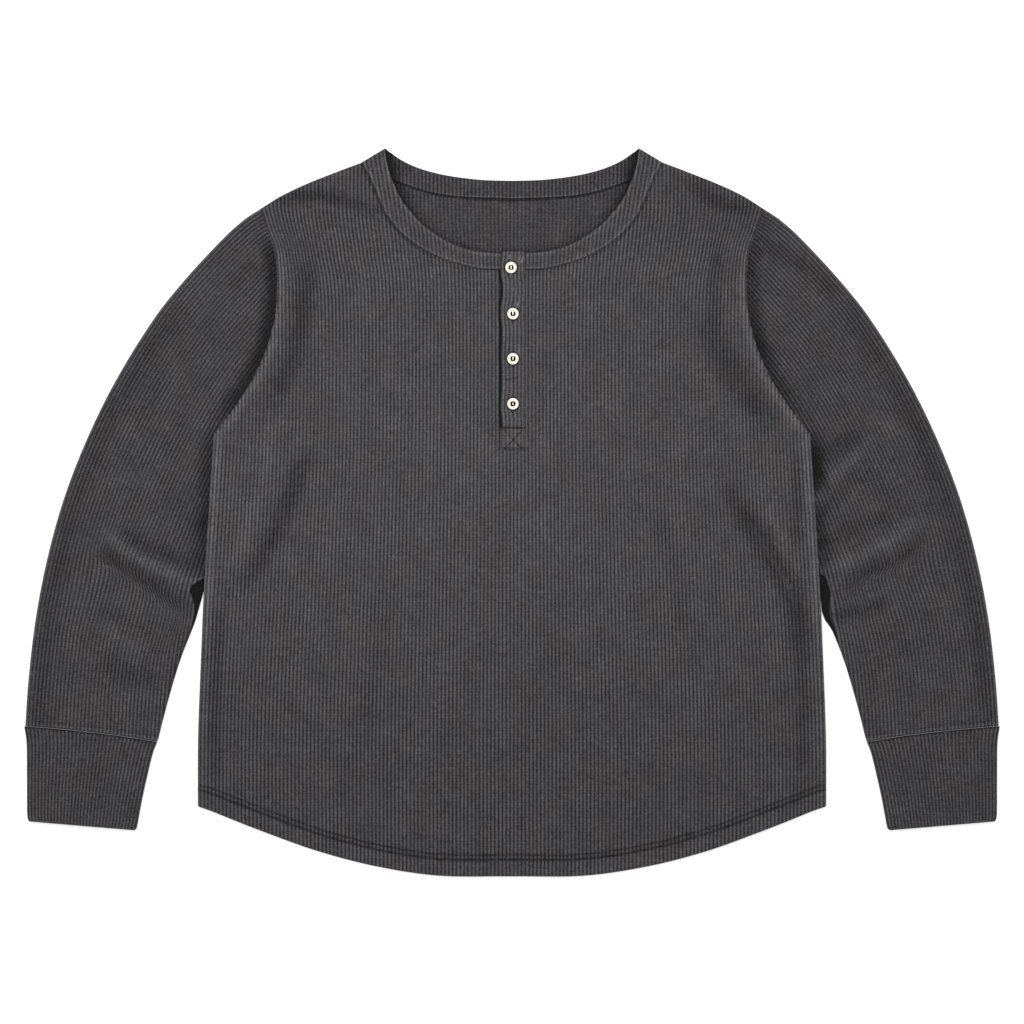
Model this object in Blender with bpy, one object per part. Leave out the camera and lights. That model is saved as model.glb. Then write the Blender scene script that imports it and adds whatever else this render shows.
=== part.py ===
"""A long-sleeved rib-knit henley shirt that lies flat on its back, collar towards +Y and front up.

Tables and sizes are in millimetres. X grows towards the wearer's left, Z is up and z = 0 is the
surface that the shirt rests on. Each cut piece of cloth is one solid between two height functions.
"""

import bmesh
import bpy
import numpy as np
from math import cos, floor, pi, radians, sin
from mathutils import Vector
from mathutils.geometry import delaunay_2d_cdt

MILLIMETRE = 0.001
MERGE = 0.0002  # points closer than this are one

# Cloth and layers
GAP = 0.3  # between two pieces that are sewn or laid together
WALL = 1.2
BACK_WALL = 1.3
HEM_WALL = 1.7  # the turned-up hem, two layers pressed
CUFF_WALL = 1.5  # a folded cuff, two layers pressed
BAND_WALL = 1.7  # the folded neckband, two layers pressed
TUBE_GAP = 0.4  # between the upper and lower wall of a flattened sleeve
FRONT_Z = 1.9  # underside of the front panel
FRONT_HEM_Z = 2.0  # its underside over the hem of the back
BAND_Z = 2.3  # underside of the front half of the neckband
BACK_BAND_WALL = 1.6
UNDER_PLACKET_TOP = 3.5
PLACKET_Z = 3.9
BUTTON_Z = 5.9
EDGE_ROUND = 0.8  # width of the rounding along a cloth edge

# Ribs
BODY_PITCH = 3.6
SLEEVE_PITCH = 3.5
RIB_HEIGHT = 0.5
INSIDE_RIB_HEIGHT = 0.3
CUFF_RIBS = 34

# Body
SHOULDER_POINT = (237.0, 285.0)
NECK_POINT = (141.9, 328.4)
HEM_DEPTH = 16.0
UNDERLAP = 4.0  # how far a sleeve reaches under the front panel's edge
ROLL_INNER = 5.0  # the front is fully raised over the sleeve up to here
ROLL_OUTER = 17.0  # and lies flat again from here
ROLL_RISE = 1.2
FREE_ROLL_RISE = 0.5  # the softer roll below the place where the sleeve leaves the side
ROLL_FADE = 40.0  # length over which the one roll becomes the other
SLEEVE_LEAVES_Y = -85.0
SLEEVE_TOP_Y = 283.0
SLEEVE_STRETCH = 80.0  # the fold line is this much longer than the sleeve, to carry the ribs
SLEEVE_WIDEST = 154.0
RIB_LINE_STEP = 6  # a sleeve's ribs bend at every so many points of its fold
SEAM_GAP = 0.45  # a gap measured straight across, which a slanting seam narrows
HEM_STEP = 1.5  # width of the step from the hem to the panel
RIB_REACH = 294.0
RIBS_LOW_Y = -350.0  # the ribs are drawn past the hem and the collar, and cut off there
RIBS_HIGH_Y = 350.0
BAND_RIBS_LOW_Y = 200.0
INSIDE_RIBS_REACH = 122.4
INSIDE_RIBS_Y = 228.0
INSIDE_RIBS_FADE = 8.0
BAND_REACH = 150.0
BAND_RIB = 0.4
BAND_FOLD = 1.8  # thickness of the cloth that turns over at the shoulder
BAND_FOLD_END = 0.08  # share of the fold left free at each of its ends
BELT_RISE = 0.2
CUT_REACH = 4.0  # how far a cutter reaches past the edges that it opens

# Placket
SLOT_LEFT = -9.0
SLOT_RIGHT = 11.3
SLOT_BOTTOM = 66.7
PLACKET_TOP = 244.4
PLACKET_BOTTOM = 58.8
PLACKET_LAP = 1.1  # how far the upper placket reaches over its sewn side
PLACKET_SCALLOP = 0.6
PLACKET_WALL = 1.3
PLACKET_STEPS = 16
BAND_LEFT_END = SLOT_RIGHT + PLACKET_LAP + GAP
BAND_RIGHT_END = PLACKET_SCALLOP - SLOT_LEFT + 2 * GAP

# Buttons
BUTTON_SEGMENTS = 16
HOLE_RADIUS = 0.8
HOLE_OFFSET = 1.35
HOLE_SEGMENTS = 6
BUTTONS = (  # x, y
    (-0.9, 229.4),
    (0.9, 186.1),
    (0.9, 143.8),
    (0.9, 101.5),
)
BUTTON_PROFILE = (  # radius, height over the button's back
    (0.0, 0.0),
    (4.9, 0.0),
    (5.7, 0.8),
    (5.4, 1.8),
    (4.7, 2.1),
    (3.7, 1.4),
    (0.0, 1.4),
)

# Outlines of the wearer's left half; the other half is their mirror image.
HEM = (  # x, y
    (0.0, -342.0),
    (67.7, -341.4),
    (126.9, -332.8),
    (181.4, -318.7),
    (233.6, -299.9),
    (282.0, -281.1),
    (295.2, -276.4),
)
SIDE = (  # y, x
    (-276.4, 295.2),
    (-218.0, 295.2),
    (-160.0, 293.3),
    (-85.0, 290.0),
    (-20.0, 286.2),
    (74.0, 280.0),
)
ARMHOLE = (  # y, x
    (74.0, 280.0),
    (96.0, 263.0),
    (118.0, 248.0),
    (140.0, 236.5),
    (164.5, 227.5),
    (199.0, 221.3),
    (232.0, 221.5),
    (250.0, 224.5),
    (265.0, 230.5),
    (285.0, 237.0),
)
SHOULDER = (  # x, y
    (237.0, 285.0),
    (218.1, 297.0),
    (193.6, 308.3),
    (165.4, 319.6),
    (141.9, 328.4),
)
FRONT_NECK = (  # x, y
    (141.9, 328.4),
    (133.5, 313.5),
    (127.3, 298.9),
    (117.5, 278.0),
    (103.0, 260.3),
    (85.0, 247.0),
    (64.0, 236.6),
    (36.0, 228.8),
    (20.0, 227.3),
)
BACK_NECK = (  # x, y
    (141.9, 328.4),
    (125.0, 320.6),
    (106.0, 310.6),
    (77.0, 301.0),
    (48.9, 296.7),
    (0.0, 294.7),
)
BAND_FRONT_EDGE = (  # x, y of the free edge, front half
    (119.4, 342.0),
    (118.6, 331.0),
    (114.7, 316.6),
    (107.5, 299.5),
    (98.5, 285.5),
    (84.0, 269.5),
    (68.0, 258.0),
    (52.0, 249.6),
    (34.5, 245.0),
    (20.0, 243.2),
)
BAND_BACK_EDGE = (  # x, y of the free edge, back half
    (119.4, 342.0),
    (108.0, 333.0),
    (95.0, 326.0),
    (79.0, 320.3),
    (57.0, 315.4),
    (28.0, 312.0),
    (0.0, 311.1),
)
SLEEVE_OUTER = (  # x, y
    (238.8, 284.0),
    (252.9, 274.5),
    (273.5, 255.7),
    (308.3, 218.1),
    (337.9, 180.5),
    (372.7, 124.1),
    (400.4, 67.7),
    (422.1, 11.3),
    (437.6, -45.1),
    (448.4, -101.5),
    (455.0, -157.9),
    (458.0, -201.2),
)
SLEEVE_INNER = (  # y, x, from where the sleeve leaves the side down to the cuff
    (-60.0, 284.6),
    (-70.0, 287.5),
    (-80.0, 292.0),
    (-101.5, 297.5),
    (-139.0, 312.0),
    (-177.0, 323.4),
    (-216.2, 333.5),
)
CUFF_SEAM = (  # x, y
    (458.0, -201.2),
    (414.5, -204.9),
    (366.6, -210.6),
    (333.5, -216.2),
)
CUFF_OUTER = (  # y, x
    (-201.6, 458.6),
    (-218.0, 456.4),
    (-284.0, 455.9),
    (-290.5, 454.4),
)
CUFF_INNER = (  # y, x
    (-216.6, 333.8),
    (-229.4, 338.4),
    (-266.0, 346.9),
    (-296.0, 352.6),
    (-298.9, 354.6),
)
CUFF_RIB_FAN = (  # y, inner x, outer x
    (-216.0, 334.0, 456.8),
    (-296.0, 352.8, 455.8),
)
RIB_SPREAD = (  # y, width of the ribbed body there over its width at the hem
    (-200.0, 1.0),
    (74.0, 0.949),
    (199.0, 0.949),
    (285.0, 1.017),
)

# Soft folds: raised ridges of cloth, hollow underneath
BODY_FOLDS = (  # start x, start y, end x, end y, half width, height
    (236.0, 34.0, 262.0, -28.0, 12.0, 1.8),
    (-236.0, 34.0, -262.0, -28.0, 12.0, 1.8),
)
LEFT_SLEEVE_FOLDS = (
    (308.0, -52.0, 374.0, -34.0, 10.0, 1.6),
    (318.0, -86.0, 352.0, -90.0, 9.0, 1.2),
    (346.0, -156.0, 392.0, -122.0, 11.0, 1.3),
)
RIGHT_SLEEVE_FOLDS = (
    (308.0, -56.0, 384.0, -22.0, 10.0, 1.8),
    (342.0, -112.0, 380.0, -140.0, 11.0, 1.2),
)

# Colours, linear
CLOTH_COLOUR = (0.064, 0.062, 0.066)
TRIM_COLOUR = (0.057, 0.055, 0.058)
BUTTON_COLOUR = (0.86, 0.82, 0.71)
CLOTH_ROUGHNESS = 0.92
BUTTON_ROUGHNESS = 0.35


def clear_scene():
    """Removes every object of the scene that Blender starts with."""
    for thing in list(bpy.data.objects):
        bpy.data.objects.remove(thing)


def clamp(value):
    """The value kept between 0 and 1."""
    return max(0.0, min(1.0, value))


def ease(value):
    """A smooth step from 0 to 1."""
    kept = clamp(value)
    return kept * kept * (3.0 - 2.0 * kept)


def table_value(table, key):
    """Straight interpolation in a table of (key, value) rows with rising or falling keys."""
    rows = sorted(table)
    if key <= rows[0][0]:
        return rows[0][1]
    for (low, first), (high, second) in zip(rows, rows[1:]):
        if key <= high:
            return first + (second - first) * (key - low) / (high - low)
    return rows[-1][1]


def smooth_path(points, steps):
    """A curve through every point, with this many steps between two of them."""
    path = []
    last = len(points) - 1
    for index in range(last):
        before = Vector(points[max(index - 1, 0)])
        start = Vector(points[index])
        end = Vector(points[index + 1])
        after = Vector(points[min(index + 2, last)])
        for step in range(steps):
            t = step / steps
            bend = (2 * before - 5 * start + 4 * end - after) * t * t
            twist = (3 * start - before - 3 * end + after) * t * t * t
            path.append(start + 0.5 * ((end - before) * t + bend + twist))
    path.append(Vector(points[last]))
    return path


def swapped(table):
    """Rows of (y, x) as points of (x, y)."""
    return [(x, y) for y, x in table]


def mirrored(path):
    """The path on the other side of the body, in the opposite order."""
    return [Vector((-point[0], point[1])) for point in reversed(path)]


def moved(path, x, y):
    """The path moved by x and y."""
    return [Vector((point[0] + x, point[1] + y)) for point in path]


def offset_path(path, distance):
    """The path moved to its left by this distance."""
    result = []
    last = len(path) - 1
    for index, point in enumerate(path):
        along = (path[min(index + 1, last)] - path[max(index - 1, 0)]).normalized()
        result.append(point + Vector((-along.y, along.x)) * distance)
    return result


def inset_outline(outline, distance):
    """A closed outline moved inwards by this distance."""
    around = [outline[-1]] + list(outline) + [outline[0]]
    return closed(offset_path(around, distance)[1:-1])


def stretched_path(path, length):
    """The path made longer by this length at both ends."""
    first = path[0] + (path[0] - path[1]).normalized() * length
    last = path[-1] + (path[-1] - path[-2]).normalized() * length
    return [first] + list(path) + [last]


def as_array(path):
    """The path's points as rows of numbers."""
    return np.array([(point[0], point[1]) for point in path])


def nearest(point, path):
    """Distance from a point to a path of rows, below zero where the point is on its right."""
    sides = path[1:] - path[:-1]
    away = np.array((point[0], point[1])) - path[:-1]
    share = np.clip((away * sides).sum(axis=1) / (sides * sides).sum(axis=1), 0.0, 1.0)
    gaps = away - sides * share[:, None]
    squares = (gaps * gaps).sum(axis=1)
    best = int(squares.argmin())
    turn = sides[best, 0] * away[best, 1] - sides[best, 1] * away[best, 0]
    distance = float(np.sqrt(squares[best]))
    return distance if turn >= 0.0 else -distance


def closed(path):
    """The path with its first point repeated at the end."""
    return list(path) + [path[0]]


def without_repeats(path):
    """The closed outline without points that lie on the one before."""
    kept = []
    for point in path:
        if not kept or (point - kept[-1]).length > GAP:
            kept.append(point)
    if (kept[0] - kept[-1]).length <= GAP:
        kept.pop()
    return kept


def triangulated(outline, guides):
    """Triangles inside an outline that keep every guide path as edges."""
    points = [Vector(point) for point in outline]
    edges = []
    for guide in guides:
        first = len(points)
        points.extend(Vector(point) for point in guide)
        edges.extend((index, index + 1) for index in range(first, len(points) - 1))
    ring = [list(range(len(outline)))]
    found = delaunay_2d_cdt(points, edges, ring, 1, MERGE)
    corners = [0] * len(outline)
    for index, sources in enumerate(found[3]):
        for source in sources:
            if source < len(outline):
                corners[source] = index
    inside = [face for face, sources in zip(found[2], found[5]) if sources]
    return found[0], inside, corners


def add_skin(bm, flat, height):
    """Adds one skin of a sheet and returns its outline corners and the chains between them."""
    points, faces, corners = flat
    made = {}
    for face in faces:
        for index in face:
            if index not in made:
                point = points[index]
                made[index] = bm.verts.new((point.x, point.y, height(point)))
    skin = [bm.faces.new([made[index] for index in face]) for face in faces]
    skin_faces = set(skin)
    following = {}
    for face in skin:
        for loop in face.loops:
            others = [near for near in loop.edge.link_faces if near in skin_faces]
            if len(others) == 1:
                following[loop.vert] = loop.link_loop_next.vert
    chains = []
    for start, end in zip(corners, corners[1:] + corners[:1]):
        chain = [made[start]]
        while chain[-1] != made[end]:
            chain.append(following[chain[-1]])
        chains.append(chain)
    return chains


def add_side(bm, upper, lower):
    """Closes the upright side between the chains of two skins."""
    for high, low in zip(upper, lower):
        bm.faces.new(high + list(reversed(low)))


def sheet(outline, guides, top, under, under_guides=(), belt=None):
    """A closed solid inside an outline, between the heights top and under."""
    bm = bmesh.new()
    upper = add_skin(bm, triangulated(outline, guides), top)
    lower = add_skin(bm, triangulated(outline, under_guides), under)
    if belt is None:
        add_side(bm, upper, lower)
    else:
        ring = [bm.verts.new((chain[0].co.x, chain[0].co.y, belt)) for chain in lower]
        middle = [[a, b] for a, b in zip(ring, ring[1:] + ring[:1])]
        add_side(bm, upper, middle)
        add_side(bm, middle, lower)
    bmesh.ops.recalc_face_normals(bm, faces=bm.faces)
    bmesh.ops.triangulate(bm, faces=[face for face in bm.faces if len(face.verts) > 3])
    return bm


def material(name, colour, roughness):
    """A plain material with this colour and roughness."""
    made = bpy.data.materials.new(name)
    made.use_nodes = True
    shader = made.node_tree.nodes["Principled BSDF"]
    shader.inputs["Base Color"].default_value = (*colour, 1.0)
    shader.inputs["Roughness"].default_value = roughness
    shader.inputs["Metallic"].default_value = 0.0
    return made


def add_object(name, bm, origin, stuff):
    """Makes an object of a mesh in millimetres, with its origin at the given point."""
    place = Vector(origin)
    bmesh.ops.translate(bm, verts=bm.verts, vec=-place)
    bmesh.ops.scale(bm, verts=bm.verts, vec=(MILLIMETRE,) * 3)
    mesh = bpy.data.meshes.new(name)
    bm.to_mesh(mesh)
    bm.free()
    mesh.materials.append(stuff)
    mesh.shade_smooth()
    mesh.set_sharp_from_angle(angle=radians(40))
    made = bpy.data.objects.new(name, mesh)
    made.location = place * MILLIMETRE
    bpy.context.scene.collection.objects.link(made)
    return made


def add_boolean(piece, tool, operation):
    """Cuts a tool from a piece, or joins it to the piece, and keeps the tool out of the render."""
    tool.hide_render = True
    tool.display_type = "WIRE"
    change = piece.modifiers.new(tool.name, "BOOLEAN")
    change.operation = operation
    change.solver = "EXACT"
    change.object = tool


def ridge(phase):
    """Height share of a rib: 1 on its crest and 0 in the valley half a pitch away."""
    return abs(2.0 * (phase - floor(phase)) - 1.0)


def edged(wall, rib, distance):
    """Height of a sheet's upper face over its lower one, rounded off along the edge."""
    return wall / 2 + (wall / 2 + rib) * clamp(abs(distance) / EDGE_ROUND)


def flipped(bm, side):
    """The mesh itself for side 1, and its mirror image for side -1."""
    if side < 0.0:
        bmesh.ops.scale(bm, verts=bm.verts, vec=(-1.0, 1.0, 1.0))
        bmesh.ops.reverse_faces(bm, faces=bm.faces)
    return bm


def fold_lift(point, folds):
    """Height of the soft folds at a point."""
    lift = 0.0
    for start_x, start_y, end_x, end_y, half_width, height in folds:
        start = Vector((start_x, start_y))
        side = Vector((end_x, end_y)) - start
        along = (point - start).dot(side) / side.length_squared
        across = abs(side.x * (point.y - start.y) - side.y * (point.x - start.x)) / side.length
        if 0.0 < along < 1.0 and across < half_width:
            shape = 0.5 + 0.5 * cos(pi * across / half_width)
            lift += height * shape * sin(pi * along)
    return lift


def fold_guides(folds):
    """The crest and the two feet of each fold."""
    guides = []
    for start_x, start_y, end_x, end_y, half_width, _ in folds:
        crest = [Vector((start_x, start_y)), Vector((end_x, end_y))]
        crest.insert(1, (crest[0] + crest[1]) / 2)
        guides.append(crest)
        guides.append(offset_path(crest, half_width / 2))
        guides.append(offset_path(crest, -half_width / 2))
    return guides


def body_edge():
    """Side and armhole of the front, from the hem corner up to the shoulder point."""
    side = smooth_path(swapped(SIDE), 2)
    return side[:-1] + smooth_path(swapped(ARMHOLE), 2)


def edge_x(y):
    """How far the front's side or armhole edge is from the middle at this height."""
    return table_value(SIDE + ARMHOLE[1:], y)


def body_rib_lines(low, high, reach, bends=RIB_SPREAD):
    """Crests and valleys of the body's ribs between two heights, up to this far from the middle."""
    lines = []
    levels = [low] + [row[0] for row in bends if low < row[0] < high] + [high]
    most = int(reach / (BODY_PITCH / 2))
    for number in range(-most, most + 1):
        place = number * BODY_PITCH / 2
        lines.append([Vector((place * table_value(RIB_SPREAD, y), y)) for y in levels])
    return lines


def body_phase(point):
    """Number of rib pitches from the middle of the body."""
    return point.x / table_value(RIB_SPREAD, point.y) / BODY_PITCH


def hem_path(depth):
    """A line at this depth inside the hem, a little longer than the hem."""
    half = smooth_path(HEM, 2)
    whole = mirrored(half) + half[1:]
    return stretched_path(offset_path(whole, depth), HEM_DEPTH)


def hem_share(point, stitch):
    """1 in the turned-up hem and 0 above its stitching."""
    return clamp(1.0 - nearest(point, stitch) / HEM_STEP)


def roll_rise(point, edge):
    """How high the front is lifted beside its armhole and side edges."""
    distance = abs(nearest((abs(point.x), point.y), edge))
    share = 1.0 - ease((distance - ROLL_INNER) / (ROLL_OUTER - ROLL_INNER))
    low = ease((SLEEVE_LEAVES_Y - point.y) / ROLL_FADE)
    return share * (ROLL_RISE + (FREE_ROLL_RISE - ROLL_RISE) * low)


def panel_outline(edge, neck, notch):
    """A body panel's outline: hem, side edge, shoulder, neck and the notch in its neck."""
    half = smooth_path(HEM, 2) + edge[1:] + smooth_path(SHOULDER, 1)[1:] + neck[1:]
    return without_repeats(half + notch + mirrored(half))


def make_front(stuff):
    """The front panel: one ribbed sheet, raised along its sides and cut open for the placket."""
    edge = body_edge()
    neck = smooth_path(FRONT_NECK, 2)
    slot = [
        Vector((SLOT_RIGHT, neck[-1].y)),
        Vector((SLOT_RIGHT, SLOT_BOTTOM)),
        Vector((SLOT_LEFT, SLOT_BOTTOM)),
        Vector((SLOT_LEFT, neck[-1].y)),
    ]
    outline = panel_outline(edge, neck, slot)
    rounded = edge + smooth_path(SHOULDER, 1)[1:]
    ring = as_array(rounded)
    stitch = hem_path(HEM_DEPTH)
    stitch_rows = as_array(stitch)
    edge_rows = as_array(edge)
    inner = offset_path(edge[::2], ROLL_INNER)
    outer = offset_path(edge[::2], ROLL_OUTER)
    features = [inner, outer, mirrored(inner), mirrored(outer)] + fold_guides(BODY_FOLDS)
    features += [stitch, hem_path(HEM_DEPTH + HEM_STEP)]

    def under(point):
        step = (FRONT_HEM_Z - FRONT_Z) * hem_share(point, stitch_rows)
        return FRONT_Z + roll_rise(point, edge_rows) + fold_lift(point, BODY_FOLDS) + step

    def top(point):
        wall = WALL + (HEM_WALL - WALL) * hem_share(point, stitch_rows)
        rib = RIB_HEIGHT * ridge(body_phase(point))
        return under(point) + edged(wall, rib, nearest((abs(point.x), point.y), ring))

    guides = body_rib_lines(RIBS_LOW_Y, RIBS_HIGH_Y, RIB_REACH) + features
    rounding = offset_path(rounded, EDGE_ROUND)
    guides += [rounding, mirrored(rounding)]
    bm = sheet(outline, guides, top, under, features)
    add_object("front", bm, (0.0, HEM[0][1], 0.0), stuff)


def back_edge():
    """Side edge of the back, which stays clear of the sleeve that reaches under the front."""
    low = [point for point in body_edge() if point.y <= SLEEVE_LEAVES_Y]
    beside = [
        Vector((min(point.x, edge_x(point.y)), point.y))
        for point in reversed(offset_path(sleeve_paths()[1], -GAP))
        if point.y > SLEEVE_LEAVES_Y
    ]
    return low + beside


def make_back(stuff):
    """The back panel: plain underneath, ribbed on its inner face where the neck shows it."""
    outline = panel_outline(back_edge(), smooth_path(BACK_NECK, 2), [])
    rounded = back_edge() + smooth_path(SHOULDER, 1)[1:]
    ring = as_array(rounded)
    stitch = hem_path(HEM_DEPTH)
    stitch_rows = as_array(stitch)
    low = INSIDE_RIBS_Y - INSIDE_RIBS_FADE

    def top(point):
        wall = BACK_WALL + (HEM_WALL - BACK_WALL) * hem_share(point, stitch_rows)
        share = clamp((point.y - low) / INSIDE_RIBS_FADE)
        if abs(body_phase(point)) * BODY_PITCH > INSIDE_RIBS_REACH + MERGE:
            share = 0.0
        rib = INSIDE_RIB_HEIGHT * ridge(body_phase(point)) * share
        return edged(wall, rib, nearest((abs(point.x), point.y), ring))

    guides = body_rib_lines(low, RIBS_HIGH_Y, INSIDE_RIBS_REACH, ())
    width = INSIDE_RIBS_REACH
    guides.append([Vector((-width, INSIDE_RIBS_Y)), Vector((width, INSIDE_RIBS_Y))])
    guides += [stitch, hem_path(HEM_DEPTH + HEM_STEP)]
    rounding = offset_path(rounded, EDGE_ROUND)
    guides += [rounding, mirrored(rounding)]
    bm = sheet(outline, guides, top, lambda point: 0.0)
    add_object("back", bm, (0.0, HEM[0][1], 0.0), stuff)


def sleeve_paths():
    """The sleeve's outer fold from the cuff up, and its inner side from the shoulder down."""
    outer = list(reversed(smooth_path(SLEEVE_OUTER, 2)))
    hidden = [
        Vector((point.x - UNDERLAP, point.y))
        for point in reversed(body_edge())
        if SLEEVE_INNER[0][0] < point.y < SLEEVE_TOP_Y
    ]
    return outer, hidden + smooth_path(swapped(SLEEVE_INNER), 2)


def make_sleeve(name, side, folds, stuff):
    """A flattened sleeve: one sheet folded along its outer side and open along the rest."""
    outer, inner = sleeve_paths()
    seam = list(reversed(smooth_path(CUFF_SEAM, 2)))
    outline = without_repeats(outer + inner + seam)
    ring = as_array(outer)
    fold_line = stretched_path(outer[::RIB_LINE_STEP], SLEEVE_STRETCH)
    fold_rows = as_array(fold_line)
    edge = [point for point in body_edge() if point.y > SLEEVE_INNER[0][0]]
    floor_top = WALL + TUBE_GAP

    def top(point):
        rib = RIB_HEIGHT * ridge(nearest(point, fold_rows) / SLEEVE_PITCH)
        if point.y > SLEEVE_INNER[0][0]:
            rib *= clamp((point.x - edge_x(point.y)) / EDGE_ROUND)
        lift = fold_lift(point, folds)
        return floor_top + lift + edged(WALL, rib, nearest(point, ring))

    guides = [edge, moved(edge, EDGE_ROUND, 0.0)] + fold_guides(folds)
    guides.append(offset_path(outer, EDGE_ROUND))
    for number in range(1, int(SLEEVE_WIDEST / (SLEEVE_PITCH / 2))):
        guides.append(offset_path(fold_line, number * SLEEVE_PITCH / 2))
    bm = sheet(outline, guides, top, lambda point: 0.0, belt=floor_top + BELT_RISE)
    origin = (side * SHOULDER_POINT[0], SHOULDER_POINT[1], 0.0)
    piece = add_object(name, flipped(bm, side), origin, stuff)
    room = stretched_path(offset_path(outer, WALL + GAP / 2), CUT_REACH)
    room += stretched_path(offset_path(inner, -CUT_REACH), CUT_REACH)
    cutter = sheet(
        room,
        fold_guides(folds),
        lambda point: floor_top + fold_lift(point, folds),
        lambda point: WALL,
    )
    tool = add_object(name + "_inside", flipped(cutter, side), origin, stuff)
    add_boolean(piece, tool, "DIFFERENCE")


def make_cuff(name, side, stuff):
    """A flattened cuff: a folded band, open at the seam and at the hand."""
    outer = list(reversed(smooth_path(swapped(CUFF_OUTER), 1)))
    seam = moved(smooth_path(CUFF_SEAM, 2), 0.0, -SEAM_GAP)
    inner = smooth_path(swapped(CUFF_INNER), 1)
    outline = without_repeats(outer + seam[1:-1] + inner)
    folds = [as_array(outer), as_array(inner)]
    (high_y, high_inner, high_outer), (low_y, low_inner, low_outer) = CUFF_RIB_FAN

    def fan(share, y):
        along = (y - high_y) / (low_y - high_y)
        inside = high_inner + (low_inner - high_inner) * along
        outside = high_outer + (low_outer - high_outer) * along
        return inside + (outside - inside) * share

    def top(point):
        start = fan(0.0, point.y)
        share = (point.x - start) / (fan(1.0, point.y) - start)
        rib = RIB_HEIGHT * ridge(share * CUFF_RIBS)
        distance = min(abs(nearest(point, fold)) for fold in folds)
        return CUFF_WALL + TUBE_GAP + edged(CUFF_WALL, rib, distance)

    guides = [offset_path(outer, EDGE_ROUND), offset_path(inner, EDGE_ROUND)]
    levels = (high_y + HEM_DEPTH, low_y - HEM_DEPTH)
    for number in range(1, 2 * CUFF_RIBS):
        share = number / (2 * CUFF_RIBS)
        guides.append([Vector((fan(share, y), y)) for y in levels])
    belt = CUFF_WALL + TUBE_GAP + BELT_RISE
    bm = sheet(outline, guides, top, lambda point: 0.0, belt=belt)
    origin = (side * CUFF_SEAM[0][0], CUFF_SEAM[0][1], 0.0)
    piece = add_object(name, flipped(bm, side), origin, stuff)
    wall = CUFF_WALL + GAP / 2
    room = stretched_path(offset_path(outer, wall), CUT_REACH)
    room += stretched_path(offset_path(inner, wall), CUT_REACH)
    cutter = sheet(room, [], lambda point: CUFF_WALL + TUBE_GAP, lambda point: CUFF_WALL)
    tool = add_object(name + "_inside", flipped(cutter, side), origin, stuff)
    add_boolean(piece, tool, "DIFFERENCE")


def band_half(outline, free, base, wall, rib_height):
    """One ribbed length of the neckband, rounded along its free edge."""
    ring = as_array(free)

    def top(point):
        rib = rib_height * ridge(body_phase(point))
        return base + edged(wall, rib, nearest(point, ring))

    guides = body_rib_lines(BAND_RIBS_LOW_Y, RIBS_HIGH_Y, BAND_REACH, ())
    guides.append(offset_path(free, EDGE_ROUND))
    return sheet(outline, guides, top, lambda point: base)


def make_neckband(stuff):
    """The neckband: a back length and two front lengths, joined by the folds at the shoulders."""
    back_seam = offset_path(list(reversed(smooth_path(BACK_NECK, 2))), GAP)
    back_free = smooth_path(BAND_BACK_EDGE, 2)
    back = back_seam + back_free
    back = without_repeats(back + mirrored(back))
    whole_free = back_free + mirrored(back_free)[1:]
    band = band_half(back, whole_free, 0.0, BACK_BAND_WALL, INSIDE_RIB_HEIGHT)
    origin = (0.0, BACK_NECK[-1][1], 0.0)
    piece = add_object("neckband", band, origin, stuff)
    seam = list(reversed(smooth_path(FRONT_NECK, 2)))
    free = smooth_path(BAND_FRONT_EDGE, 2)
    for side, end in ((1.0, BAND_LEFT_END), (-1.0, BAND_RIGHT_END)):
        word = "left" if side > 0.0 else "right"
        ends = [Vector((end, free[-1].y)), Vector((end, seam[0].y + GAP))]
        outline = without_repeats(offset_path(seam, GAP) + free + ends)
        front = band_half(outline, free, BAND_Z, BAND_WALL, BAND_RIB)
        tool = add_object("band_front_" + word, flipped(front, side), origin, stuff)
        add_boolean(piece, tool, "UNION")
        line = [Vector(NECK_POINT), Vector(BAND_FRONT_EDGE[0])]
        near = offset_path(line, GAP)
        far = offset_path(line, BAND_FOLD)
        near = [near[0].lerp(near[1], share) for share in (BAND_FOLD_END, 1.0 - BAND_FOLD_END)]
        far = [far[0].lerp(far[1], share) for share in (BAND_FOLD_END, 1.0 - BAND_FOLD_END)]
        turn = sheet(
            near + list(reversed(far)),
            [],
            lambda point: BAND_Z + BAND_WALL - GAP,
            lambda point: GAP,
        )
        tool = add_object("band_fold_" + word, flipped(turn, side), origin, stuff)
        add_boolean(piece, tool, "UNION")


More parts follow.
